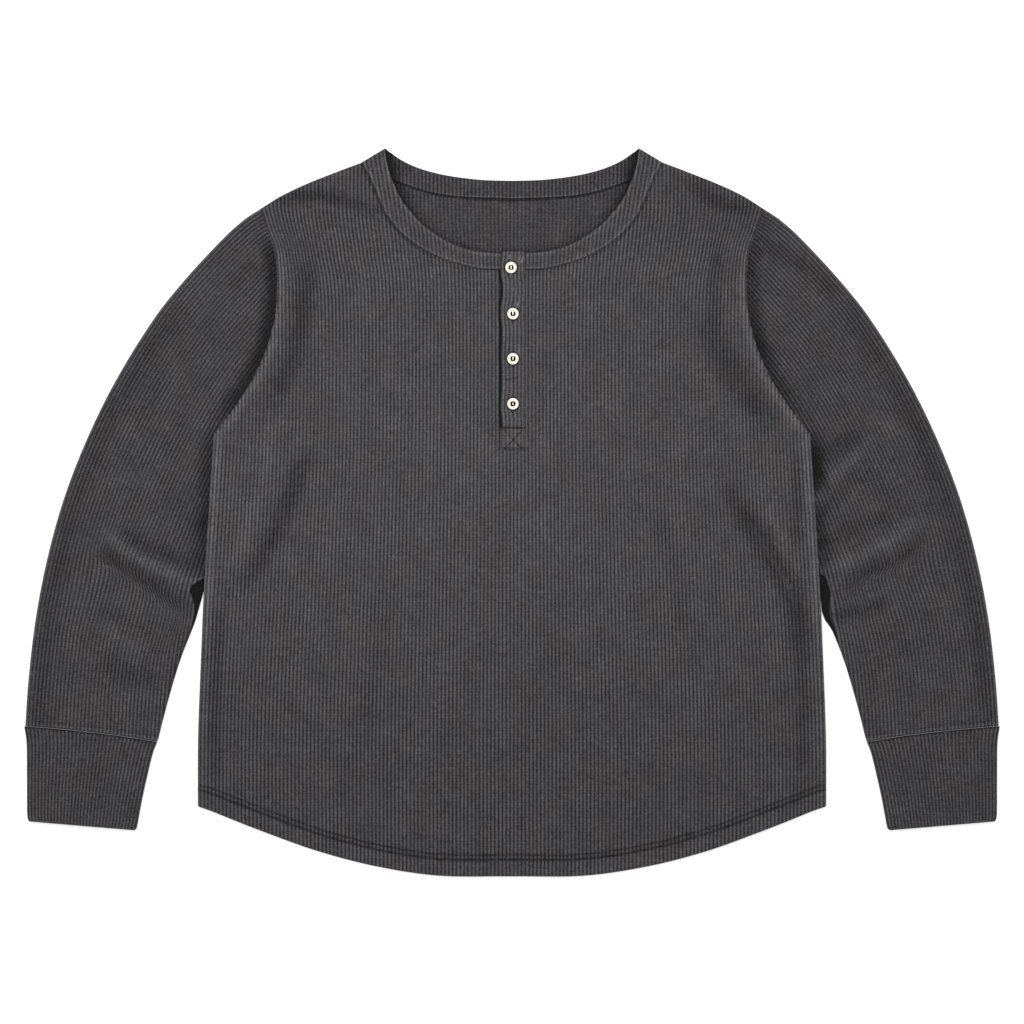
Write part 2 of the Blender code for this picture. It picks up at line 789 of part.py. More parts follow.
def make_placket(upper_stuff, under_stuff):
    """The placket: an under length in the slot, and an upper length laid over it."""
    low = SLOT_BOTTOM + GAP
    high = PLACKET_TOP - EDGE_ROUND
    left = SLOT_LEFT + GAP
    right = SLOT_RIGHT - GAP
    outline = [Vector(pair) for pair in ((left, low), (right, low), (right, high), (left, high))]
    under = sheet(outline, [], lambda point: UNDER_PLACKET_TOP, lambda point: FRONT_Z)
    add_object("placket_under", under, (SLOT_LEFT, SLOT_BOTTOM, 0.0), under_stuff)
    right = SLOT_RIGHT + PLACKET_LAP
    outline = [Vector((right, PLACKET_BOTTOM)), Vector((right, PLACKET_TOP))]
    spacing = BUTTONS[1][1] - BUTTONS[2][1]
    for step in range(PLACKET_STEPS + 1):
        y = PLACKET_TOP + (PLACKET_BOTTOM - PLACKET_TOP) * step / PLACKET_STEPS
        wave = cos(2.0 * pi * (y - BUTTONS[1][1]) / spacing)
        outline.append(Vector((SLOT_LEFT - GAP - PLACKET_SCALLOP * (0.5 + 0.5 * wave), y)))
    ring = as_array(closed(outline))

    def top(point):
        rib = BAND_RIB * ridge(body_phase(point))
        return PLACKET_Z + edged(PLACKET_WALL, rib, nearest(point, ring))

    guides = body_rib_lines(PLACKET_BOTTOM - GAP, PLACKET_TOP + GAP, HEM_DEPTH, ())
    guides.append(inset_outline(outline, EDGE_ROUND))
    bm = sheet(outline, guides, top, lambda point: PLACKET_Z)
    add_object("placket_top", bm, (SLOT_RIGHT, PLACKET_BOTTOM, PLACKET_Z), upper_stuff)


def make_button(number, place, stuff):
    """A dished button with a raised rim and two holes."""
    bm = bmesh.new()
    verts = [bm.verts.new((radius, 0.0, height)) for radius, height in BUTTON_PROFILE]
    edges = [bm.edges.new(pair) for pair in zip(verts, verts[1:])]
    bmesh.ops.spin(
        bm,
        geom=verts + edges,
        cent=(0.0, 0.0, 0.0),
        axis=(0.0, 0.0, 1.0),
        angle=2.0 * pi,
        steps=BUTTON_SEGMENTS,
        use_merge=True,
    )
    bmesh.ops.remove_doubles(bm, verts=bm.verts, dist=MERGE)
    bmesh.ops.recalc_face_normals(bm, faces=bm.faces)
    bmesh.ops.translate(bm, verts=bm.verts, vec=(place[0], place[1], BUTTON_Z))
    origin = (place[0], place[1], BUTTON_Z)
    piece = add_object("button_" + str(number), bm, origin, stuff)
    holes = bmesh.new()
    for side in (-1.0, 1.0):
        made = bmesh.ops.create_cone(
            holes,
            cap_ends=True,
            segments=HOLE_SEGMENTS,
            radius1=HOLE_RADIUS,
            radius2=HOLE_RADIUS,
            depth=BUTTON_Z,
        )
        spot = (place[0] + side * HOLE_OFFSET, place[1], BUTTON_Z)
        bmesh.ops.translate(holes, verts=made["verts"], vec=spot)
    tool = add_object("button_holes_" + str(number), holes, origin, stuff)
    add_boolean(piece, tool, "DIFFERENCE")


def main():
    """Builds the whole shirt."""
    clear_scene()

    def cloth(name):
        return material(name, CLOTH_COLOUR, CLOTH_ROUGHNESS)

    make_back(cloth("back_knit"))
    make_front(cloth("front_knit"))
    make_sleeve("sleeve_left", 1.0, LEFT_SLEEVE_FOLDS, cloth("sleeve_left_knit"))
    make_sleeve("sleeve_right", -1.0, RIGHT_SLEEVE_FOLDS, cloth("sleeve_right_knit"))
    make_cuff("cuff_left", 1.0, material("cuff_left_knit", TRIM_COLOUR, CLOTH_ROUGHNESS))
    make_cuff("cuff_right", -1.0, material("cuff_right_knit", TRIM_COLOUR, CLOTH_ROUGHNESS))
    make_neckband(material("neckband_knit", TRIM_COLOUR, CLOTH_ROUGHNESS))
    make_placket(cloth("placket_top_knit"), cloth("placket_under_knit"))
    for number, place in enumerate(BUTTONS, start=1):
        stuff = material("button_resin_" + str(number), BUTTON_COLOUR, BUTTON_ROUGHNESS)
        make_button(number, place, stuff)


main()
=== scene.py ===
from math import pi, radians

import bmesh
import bpy
import numpy as np
from mathutils import Matrix, Vector


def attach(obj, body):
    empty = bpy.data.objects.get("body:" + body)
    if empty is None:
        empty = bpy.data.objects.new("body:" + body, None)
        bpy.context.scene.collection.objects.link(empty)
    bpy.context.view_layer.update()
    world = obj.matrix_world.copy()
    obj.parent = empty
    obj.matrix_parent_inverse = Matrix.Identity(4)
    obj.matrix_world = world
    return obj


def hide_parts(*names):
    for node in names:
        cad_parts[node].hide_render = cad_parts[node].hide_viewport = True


# A rib-knit henley laid flat. Lengths in the tables are millimetres, the tables hold
# the wearer's left half (+X), and every finished mesh is scaled to metres at the end.
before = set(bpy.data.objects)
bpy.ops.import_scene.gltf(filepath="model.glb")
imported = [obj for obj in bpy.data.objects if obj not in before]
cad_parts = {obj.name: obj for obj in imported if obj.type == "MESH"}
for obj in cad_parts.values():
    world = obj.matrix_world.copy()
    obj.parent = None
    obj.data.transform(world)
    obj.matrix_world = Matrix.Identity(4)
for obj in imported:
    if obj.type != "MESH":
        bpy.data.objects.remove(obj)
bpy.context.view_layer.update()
onFloor = 0.03  # nothing lies lower than this
joined = 0.02  # points closer than this are one
underarm = 74.0  # heights of the armhole's lower end and of its innermost point
innermost = 199.0
stitchRows = (15.2, 19.8)  # heights of the hem's two rows of stitches over its edge
print("frame loaded:", len(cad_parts), "nodes")


# Numbers and curves.

def clamp(x):
    return np.clip(x, 0.0, 1.0)


def ease(x):
    kept = clamp(x)
    return kept * kept * (3.0 - 2.0 * kept)


def hump(x):  # 1 in the middle, 0 from -1 and 1 outwards
    return 0.5 + 0.5 * np.cos(pi * np.clip(x, -1.0, 1.0))


def line(x, width):  # a narrow groove or ridge
    return np.exp(-((x / width) ** 2))


def curve(points, steps=8):  # smooth line through every point
    p = np.array(points, float)
    p = np.vstack([2 * p[0] - p[1], p, 2 * p[-1] - p[-2]])
    t = np.linspace(0.0, 1.0, steps, endpoint=False)[:, None]
    parts = []
    for a, b, c, d in zip(p, p[1:], p[2:], p[3:]):
        bend = (2 * a - 5 * b + 4 * c - d) * t * t
        twist = (3 * b - a - 3 * c + d) * t ** 3
        parts.append(0.5 * (2 * b + (c - a) * t + bend + twist))
    return np.vstack(parts + [p[-2][None]])


def lookup(table, key, smooth=True):
    rows = curve(table) if smooth else np.array(table, float)
    rows = rows[np.argsort(rows[:, 0])]
    return np.interp(key, rows[:, 0], rows[:, 1])


def rounded(gap, radius):  # 0 at an edge and 1 from this radius on, a quarter circle between
    return np.sqrt(1.0 - (1.0 - clamp(gap / radius)) ** 2)


def lengths(path):  # how long a path is up to each of its points
    return np.concatenate([[0.0], np.cumsum(np.hypot(*np.diff(path, axis=0).T))])


def toPath(x, y, path):  # distance to a path, and how far along it that is, 0 to 1
    gap, along, _ = besidePath(x, y, path)
    return gap, along


def besidePath(x, y, path):  # the same, and 1 on its left or -1 on its right
    best = np.full(np.shape(x), 1e9)
    along = np.zeros(np.shape(x))
    left = np.ones(np.shape(x))
    run = 0.0
    for a, b in zip(path, path[1:]):
        side = b - a
        length = np.hypot(*side)
        share = clamp(((x - a[0]) * side[0] + (y - a[1]) * side[1]) / length ** 2)
        gap = np.hypot(x - a[0] - share * side[0], y - a[1] - share * side[1])
        nearer = gap < best
        best = np.where(nearer, gap, best)
        along = np.where(nearer, run + share * length, along)
        left = np.where(nearer, np.sign(side[0] * (y - a[1]) - side[1] * (x - a[0])), left)
        run += length
    return best, along / run, left


def folds(x, y, made):  # troughs and ridges: (points outwards, half width, height, slide)
    lift = np.zeros(np.shape(x))
    drift = np.zeros(np.shape(x))
    for points, width, height, slide in made:
        gap, along, left = besidePath(x, y, curve(points, 3))
        ends = ease(along / 0.3) * ease((1.0 - along) / 0.3)
        lift += height * hump(gap / width) * ends
        if slide:  # the cloth below the fold has slipped towards the body, above it away
            below = -left * gap
            slipped = ease((below + 0.3 * width) / (1.6 * width))
            back = slipped * (1.0 - ease((below - 1.5 * width) / (5.0 * width)))
            out = (1.0 - slipped) * (1.0 - ease(-below / (5.0 * width)))
            drift += slide * ends * (0.7 * out - back)
    return lift, drift


def strokes(x, y, made):  # short creases: (x, y, x, y, half width), 1 on their lines
    total = np.zeros(np.shape(x))
    for ax, ay, bx, by, width in made:
        gap, along = toPath(x, y, np.array(((ax, ay), (bx, by))))
        total += line(gap, width) * np.sin(pi * np.clip(along, 0.06, 0.94))
    return total


def swell(x, y, seed, height):  # cloth never lies quite flat
    waves = np.sin(x / 41.0 + 2.1 * seed) * np.sin(y / 57.0 + 1.3 * seed)
    waves = waves + 0.6 * np.sin(x / 23.0 - y / 71.0 + 0.7 * seed)
    return height * (waves + 0.5 * np.sin(y / 33.0 + x / 90.0 + 3.0 * seed))


def ribWave(phase):  # a broad rounded rib with a narrow valley, crest on whole numbers
    return (0.5 + 0.5 * np.cos(2.0 * pi * phase)) ** 0.6


# Meshes.

def placedGrid(bm, columns, rows, place):  # place(u, v) gives x, y, z, phase, along, wear and painted light
    bm.verts.layers.float_vector.get("ribs") or bm.verts.layers.float_vector.new("ribs")
    made = bmesh.ops.create_grid(bm, x_segments=columns, y_segments=rows, size=0.5)["verts"]
    ribs = bm.verts.layers.float_vector["ribs"]
    flat = np.array([vert.co for vert in made]) + 0.5
    x, y, z, phase, along, wearAndPaintedLight = np.broadcast_arrays(*place(flat[:, 0], flat[:, 1]))
    spots = np.stack([x, y, z], axis=1).tolist()
    notes = np.stack([phase, along, wearAndPaintedLight], axis=1).tolist()
    for vert, spot, note in zip(made, spots, notes):
        vert.co = spot
        vert[ribs] = note
    return made


def turnEdge(bm, edges, profile, up=None):  # rolls a cut edge over: (outwards, downwards)
    edges = list(edges)
    bm.normal_update()
    away = {}
    for edge in edges:
        face = edge.link_faces[0]
        side = (edge.verts[1].co - edge.verts[0].co).normalized()
        out = side.cross(Vector((0.0, 0.0, 1.0)))
        if out.dot(face.calc_center_median() - edge.verts[0].co) > 0.0:
            out.negate()
        for vert in edge.verts:
            away[vert] = away.get(vert, Vector()) + out
    start = {}
    for vert, out in away.items():
        rise = 1.0 if up is None else up(vert)
        start[vert] = (vert.co.copy(), out.normalized(), rise)
    for out, down in profile:
        geom = bmesh.ops.extrude_edge_only(bm, edges=edges)["geom"]
        fresh = {item for item in geom if isinstance(item, bmesh.types.BMVert)}
        following = {}
        for vert in fresh:
            old = next(e.other_vert(vert) for e in vert.link_edges if e.other_vert(vert) in start)
            spot, side, rise = start[old]
            vert.co = spot + side * out - Vector((0.0, 0.0, down * rise))
            following[vert] = start[old]
        edges = [e for e in geom if isinstance(e, bmesh.types.BMEdge) and set(e.verts) <= fresh]
        start = following


def rimOf(bm, test=None):
    rim = [edge for edge in bm.edges if edge.is_boundary]
    return [edge for edge in rim if test is None or all(test(v.co) for v in edge.verts)]


def gapTo(spot, path):  # a vertex's distance to a path of the left half
    return float(toPath(np.array(abs(spot.x)), np.array(spot.y), path)[0])


def linked(name, data):  # a new object in the scene
    made = bpy.data.objects.new(name, data)
    bpy.context.scene.collection.objects.link(made)
    return made


def finished(name, bm, finish, replaced=(), side=1.0, merge=joined):
    if merge:
        bmesh.ops.remove_doubles(bm, verts=bm.verts, dist=merge)
    for vert in bm.verts:
        vert.co.z = max(vert.co.z, onFloor)
    bmesh.ops.scale(bm, verts=bm.verts, vec=(side * 0.001, 0.001, 0.001))
    bm.normal_update()
    heights = [face.calc_center_median().z for face in bm.faces]
    middle = (max(heights) + min(heights)) / 2.0
    facing = sum(f.normal.z * f.calc_area() for f, z in zip(bm.faces, heights) if z > middle)
    if facing < 0.0:
        bmesh.ops.reverse_faces(bm, faces=bm.faces)
    mesh = bpy.data.meshes.new(name)
    bm.to_mesh(mesh)
    bm.free()
    mesh.materials.append(finish)
    mesh.shade_smooth()
    piece = linked(name, mesh)
    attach(piece, "root")
    if replaced:
        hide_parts(*replaced)
    area = sum(polygon.area for polygon in mesh.polygons)
    print(f"{name}: {len(mesh.polygons)} faces, {area:.3f} m2")
    return piece


# Finishes.

def hexColour(text):
    parts = [int(text[k:k + 2], 16) / 255.0 for k in (1, 3, 5)]
    return (*[p / 12.92 if p < 0.04045 else ((p + 0.055) / 1.055) ** 2.4 for p in parts], 1.0)


def addNode(tree, kind, settings=(), values=(), links=()):
    node = tree.nodes.new("ShaderNode" + kind)
    for key, value in dict(settings).items():
        setattr(node, key, value)
    for key, value in dict(values).items():
        node.inputs[key].default_value = value
    for key, source in dict(links).items():
        tree.links.new(source, node.inputs[key])
    return node


def newFinish(name):
    finish = bpy.data.materials.new(name)
    finish.use_nodes = True
    return finish, finish.node_tree, finish.node_tree.nodes["Principled BSDF"]


def combine(tree, operation, first, second):  # arithmetic on sockets or numbers
    node = addNode(tree, "Math", {"operation": operation})
    for socket, value in zip(node.inputs, (first, second)):
        if isinstance(value, (int, float)):
            socket.default_value = value
        else:
            tree.links.new(value, socket)
    return node.outputs[0]


ribKnit = {  # pigment-washed cotton rib knit
    "darkest": "#151415",
    "valley": "#2c2b2d",
    "flank": "#444244",
    "crest": "#5b5a5c",
    "palest": "#757375",
    "warm": "#fffdfa",
    "cool": "#fbfdff",
    "ribShare": 0.47,
    "heather": 0.28,
    "fleck": 0.36,
    "fuzz": 0.27,
    "mottle": 0.22,
    "rows": 0.035,
    # how far the per-vertex tone moves the colour: wear, painted highlights and painted shade
    "wearAndPaintedLight": 0.42,
    "courseMm": 2.8,
    "wander": 0.22,
    "roughness": 0.94,
    "gloss": 0.2,
    "sheen": 0.05,
}


def knitFinish(name, level, contrast):
    # Cotton rib knit, garment-dyed with pigment and washed down: matt, the ribs' backs paler than
    # the valleys, partly pigment rubbed off the crests and partly painted shade in the valleys,
    # flecked where fibres took less dye.
    finish, tree, shader = newFinish(name)
    knit = ribKnit

    def noise(vector, scale, detail):
        values = {"Scale": scale, "Detail": detail}
        return addNode(tree, "TexNoise", values=values, links={"Vector": vector}).outputs[0]

    def math(operation, first, second=0.0):
        return combine(tree, operation, first, second)

    def plus(first, second):
        return math("ADD", first, second)

    def times(first, second):
        return math("MULTIPLY", first, second)

    marks = addNode(tree, "Attribute", {"attribute_name": "ribs"})
    parts = addNode(tree, "SeparateXYZ", links={0: marks.outputs["Vector"]})
    phase, along, wearAndPaintedLight = parts.outputs
    place = addNode(tree, "TexCoord").outputs["Object"]
    sway = times(math("SUBTRACT", noise(place, 60.0, 2.0), 0.5), knit["wander"])
    wave = math("COSINE", times(plus(phase, sway), 2.0 * pi))
    ridge = math("POWER", plus(times(wave, 0.5), 0.5), 0.75)
    # the ribs fade here and there, and wholly on pressed seams and in deep painted shadows
    flat = times(math("SUBTRACT", math("ABSOLUTE", wearAndPaintedLight), 0.40), 1.6)
    ribsShown = math("SUBTRACT", 1.0, math("MAXIMUM", math("MINIMUM", flat, 0.95), 0.0))
    strength = plus(0.55, times(noise(place, 38.0, 1.0), 0.9))
    ridge = times(times(math("SUBTRACT", ridge, 0.5), strength), ribsShown)
    # rows of stitches are 1.1 mm apart in the cloth and drawn coarser, to show
    course = math("DIVIDE", along, knit["courseMm"])
    across = addNode(tree, "CombineXYZ", links={0: phase, 1: course}).outputs[0]
    narrow = addNode(tree, "CombineXYZ", links={0: times(phase, 2.6), 1: course}).outputs[0]
    slant = math("ABSOLUTE", math("SINE", times(phase, pi)))
    rows = math("SINE", times(plus(course, times(slant, 0.35)), 2.0 * pi))
    fleck = noise(narrow, 1.1, 1.0)
    # rib crests paler and valleys darker: partly pigment rubbed off, partly painted shade in the
    # valleys
    tone = plus(0.5, times(ridge, contrast * knit["ribShare"]))
    for source, share in (
        (noise(across, 0.62, 1.0), knit["heather"]),
        (fleck, knit["fleck"]),
        (noise(place, 600.0, 0.0), knit["fuzz"]),
        (noise(place, 55.0, 4.0), knit["mottle"]),
    ):
        tone = plus(tone, times(math("SUBTRACT", source, 0.5), share))
    tone = plus(tone, times(rows, knit["rows"]))
    # per-vertex tone: wear, painted highlights on rolls and ridges, painted shade in seams, gaps
    # and under edges
    tone = plus(tone, times(wearAndPaintedLight, knit["wearAndPaintedLight"]))
    lint = math("GREATER_THAN", noise(narrow, 0.9, 0.0), 0.80)
    tone = plus(tone, times(lint, 0.12))
    tone = plus(tone, level)
    ramp = addNode(tree, "ValToRGB", links={"Fac": tone})
    stops = ramp.color_ramp.elements
    shades = ("darkest", "valley", "flank", "crest", "palest")
    for spot, colour in zip((0.0, 0.25, 0.5, 0.75, 1.0), shades):
        stop = stops[0] if spot == 0.0 else stops[-1] if spot == 1.0 else stops.new(spot)
        stop.color = hexColour(knit[colour])
    tint = addNode(tree, "ValToRGB", links={"Fac": noise(place, 30.0, 3.0)})
    for stop, spot, colour in zip(tint.color_ramp.elements, (0.36, 0.64), ("warm", "cool")):
        stop.position = spot
        stop.color = hexColour(knit[colour])
    mixed = addNode(
        tree,
        "Mix",
        {"data_type": "RGBA", "blend_type": "MULTIPLY"},
        {0: 1.0},
        {6: ramp.outputs[0], 7: tint.outputs[0]},
    )
    tree.links.new(mixed.outputs[2], shader.inputs["Base Color"])
    relief = plus(plus(times(rows, 0.3), fleck), times(ridge, 1.5))
    bump = addNode(
        tree, "Bump", values={"Strength": 0.5, "Distance": 0.0003}, links={"Height": relief}
    )
    tree.links.new(bump.outputs[0], shader.inputs["Normal"])
    shader.inputs["Roughness"].default_value = knit["roughness"]
    shader.inputs["IOR"].default_value = 1.45
    shader.inputs["Specular IOR Level"].default_value = knit["gloss"]  # fibres shade each other
    shader.inputs["Sheen Weight"].default_value = knit["sheen"]
    shader.inputs["Sheen Roughness"].default_value = 0.6
    return finish


bodyKnit = knitFinish("pigmentWashedRibKnitBody", -0.024, 1.0)
# the back panel, seen inside the neck: a darker copy of the knit with flatter ribs, painted shade
shadedInsideKnit = knitFinish("pigmentWashedRibKnitInsideShaded", -0.065, 0.62)
sleeveKnit = knitFinish("pigmentWashedRibKnitSleeve", -0.082, 0.88)
trimKnit = knitFinish("pigmentWashedRibKnitTrim", -0.083, 0.86)

buttonResin = {"body": "#fffaf0", "cloud": "#efe4c9", "cloudMm": 4, "roughness": 0.32}


def resinFinish():
    # Cast casein-like resin, tumbled to a soft gloss: cloudy cream.
    finish, tree, shader = newFinish("tumbledCreamResin")
    place = addNode(tree, "TexCoord").outputs["Object"]
    cloud = addNode(
        tree,
        "TexNoise",
        values={"Scale": 1000.0 / buttonResin["cloudMm"], "Detail": 3.0, "Distortion": 0.6},
        links={"Vector": place},
    )
    ramp = addNode(tree, "ValToRGB", links={"Fac": cloud.outputs[0]})
    stops = ramp.color_ramp.elements
    stops[0].position = 0.3
    stops[0].color = hexColour(buttonResin["cloud"])
    stops[1].position = 0.62
    stops[1].color = hexColour(buttonResin["body"])
    tree.links.new(ramp.outputs[0], shader.inputs["Base Color"])
    shader.inputs["Roughness"].default_value = buttonResin["roughness"]
    shader.inputs["IOR"].default_value = 1.55
    shader.inputs["Coat Weight"].default_value = 0.25
    return finish


def threadFinish():
    # Spun polyester sewing thread: dull, faintly twisted.
    finish, tree, shader = newFinish("spunSewingThread")
    place = addNode(tree, "TexCoord").outputs["Object"]
    twist = addNode(
        tree,
        "TexWave",
        {"bands_direction": "DIAGONAL"},
        {"Scale": 900.0, "Distortion": 1.0},
        {"Vector": place},
    )
    ramp = addNode(tree, "ValToRGB", links={"Fac": twist.outputs[1]})
    ramp.color_ramp.elements[0].color = hexColour("#161517")
    ramp.color_ramp.elements[1].color = hexColour("#262527")
    tree.links.new(ramp.outputs[0], shader.inputs["Base Color"])
    shader.inputs["Roughness"].default_value = 0.9
    shader.inputs["Specular IOR Level"].default_value = 0.15
    return finish


resin = resinFinish()
thread = threadFinish()
print("finishes made")


# Body: two panels with one set of ribs.

body = {
    "pitch": 3.6,  # from one rib to the next
    "edgeTurn": 0.9,  # the rolled edge stands this far out
    "hem": (
        (0, -342), (67.7, -341.4), (126.9, -332.8), (181.4, -318.7), (233.6, -299.9), (282, -281.1),
        (295.2, -276.4),
    ),
    "side": (
        (-345, 295.2), (-276.4, 295.2), (-218, 295.2), (-160, 293.3), (-85, 290), (-20, 286.2),
        (74, 280),
    ),
    "armhole": (
        (74, 280), (96, 263), (118, 248), (140, 236.5), (164.5, 227.5), (199, 221.3), (232, 221.5),
        (250, 224.5), (265, 230.5), (285, 237),
    ),
    "shoulder": ((237, 285), (218.1, 297), (193.6, 308.3), (165.4, 319.6), (141.9, 328.4)),
    "frontNeck": (
        (141.9, 328.4), (133.5, 313.5), (127.3, 298.9), (117.5, 278), (103, 260.3), (85, 247),
        (64, 236.6), (36, 228.8), (20, 227.3), (0, 227),
    ),
    "backNeck": ((141.9, 328.4), (125, 320.6), (106, 310.6), (77, 301), (48.9, 296.7), (0, 294.7)),
    "spread": (
        (-345, 1), (-200, 1), (-60, 0.974), (74, 0.949), (199, 0.949), (245, 0.984), (285, 1.017),
        (345, 1.017),
    ),
    "slotLeft": -2.5,  # slot of the placket, in ribs
    "slotRight": 3.25,
    "slotBottom": 66.7,
    "armholeRib": 64.75,  # the rib that runs up beside the armhole
    "edgeRib": 82,
    "ribHeight": 0.75,
    "hemDepth": 16,
    "hemRows": 26,  # rows stand close together below this height above the hem
}
bodyEdge = np.vstack([curve(body["side"], 6)[:-1, ::-1], curve(body["armhole"], 6)[:, ::-1]])
edgeReach = body["edgeRib"] * body["pitch"]
armReach = body["armholeRib"] * body["pitch"]

bodyFolds = (
    (((-186, 262), (-195, 199), (-202, 162), (-212, 129), (-228, 105), (-250, 82)), 16, -2.7, 0),
    (
        ((-182, 76), (-198, 39), (-208, 11), (-221, -17), (-236, -45), (-249, -66), (-266, -90)),
        15, -2.7, 0,
    ),
    (((-228, 96), (-231, 50), (-238, 15), (-248, -15), (-262, -50), (-268, -72)), 12, 0.9, 0),
    (((-262, -66), (-275, -110), (-279, -180), (-280, -275)), 11, -1.7, 0),
    (((197, 262), (192, 225), (190, 190), (190, 160)), 11, -1.3, 0),
    (((178, 200), (188, 170), (202, 140), (220, 112), (242, 84), (252, 62)), 20, -2.6, 0),
    (
        (
            (190, 48), (212, 7), (228, -17), (241, -40), (254, -59), (264, -80), (270, -110),
            (272, -150),
        ),
        18, -3.2, 0,
    ),
    (((268, -80), (272, -130), (273, -190), (273, -275)), 12, -1.5, 0),
    (((233, 34), (247, -8), (261, -45), (268, -68)), 12, 0.7, 0),
    (((264, 72), (268, 20), (268, -50)), 8, -1.7, 0),
    (((134, 20), (149, -45), (163, -111), (179, -140)), 14, -0.8, 0),
    (((-234, 281), (-209, 295), (-185, 297), (-157, 292), (-138, 286), (-118, 276)), 10, -2.3, 0),
    (((156, 317), (181, 299), (197, 290), (219, 284), (236, 280)), 13, -2.4, 0),
    (((-150, 262), (-140, 214), (-132, 160)), 12, 0.5, 0),
    (((58, -40), (30, -150), (12, -230)), 22, -0.4, 0),
    (((-120, -60), (-128, -150), (-150, -240)), 20, -0.4, 0),
)


def spread(y):
    return lookup(body["spread"], y)


def bodyX(place, y, inset):  # where a rib's line lies at this height
    reach = np.abs(place)
    side = lookup(body["side"], y) - edgeReach * spread(y)
    side = np.where(y > underarm, 0.0, side) - inset
    arm = lookup(body["armhole"], y) - armReach * spread(y) - inset
    arm = np.where(y < innermost, -inset * ease((y - 150.0) / 49.0), arm)
    shift = side * clamp((reach - 255.0) / (edgeReach - 255.0))
    shift = shift * (1.0 - ease((y - underarm) / 60.0))
    shift = shift + arm * clamp((reach - 188.0) / (armReach - 188.0)) * (y > 150.0)
    return place * spread(y) + np.sign(place) * shift


def hemLine(place):
    return lookup(body["hem"], np.abs(place))


def armLine(place, inset):  # height at which a rib meets the armhole
    path = curve(body["armhole"])[:50]
    return lookup(
        np.stack([(path[:, 1] - inset) / spread(path[:, 0]), path[:, 0] - 0.4 * inset], 1),
        np.abs(place), False,
    )


def shelf(place, slot=True):  # where the lower grid hands over to the upper ones
    reach = np.abs(place)
    inner = np.where(place < 0.0, -body["slotLeft"], body["slotRight"]) * body["pitch"]
    share = clamp((reach - inner) / (armReach - inner)) if slot else reach / armReach
    return body["slotBottom"] + (innermost - body["slotBottom"]) * share


def topLine(place, neck, tuck):  # shoulder, then neck
    shoulder = curve(body["shoulder"])
    inside = curve(body[neck])[1:]
    path = np.vstack([shoulder, inside + (0.0, tuck)])
    return lookup(np.stack([path[:, 0] / spread(path[:, 1]), path[:, 1]], 1), np.abs(place), False)


def hemDistance(x, y):
    slope = (hemLine(x + 1.0) - hemLine(x - 1.0)) / 2.0
    return (y - hemLine(x)) / np.hypot(1.0, slope)


def atHem(spot):
    return float(hemDistance(np.array(spot.x), np.array(spot.y))) < 0.5


def placketLeft(y):  # the placket's free edge, drawn in at the buttons
    nearest = np.min([np.abs(y - spot[1]) for spot in buttons], axis=0)
    wave = hump(nearest / 21.0)
    wavy = 0.30 * np.sin(y / 5.3) + 0.25 * np.sin(y / 11.0 + 1.0)
    return (
        placket["left"] - placket["scallop"] * wave
        + (0.5 * (1.0 - wave) + wavy) * ease((y - 78.0) / 6.0)
    )


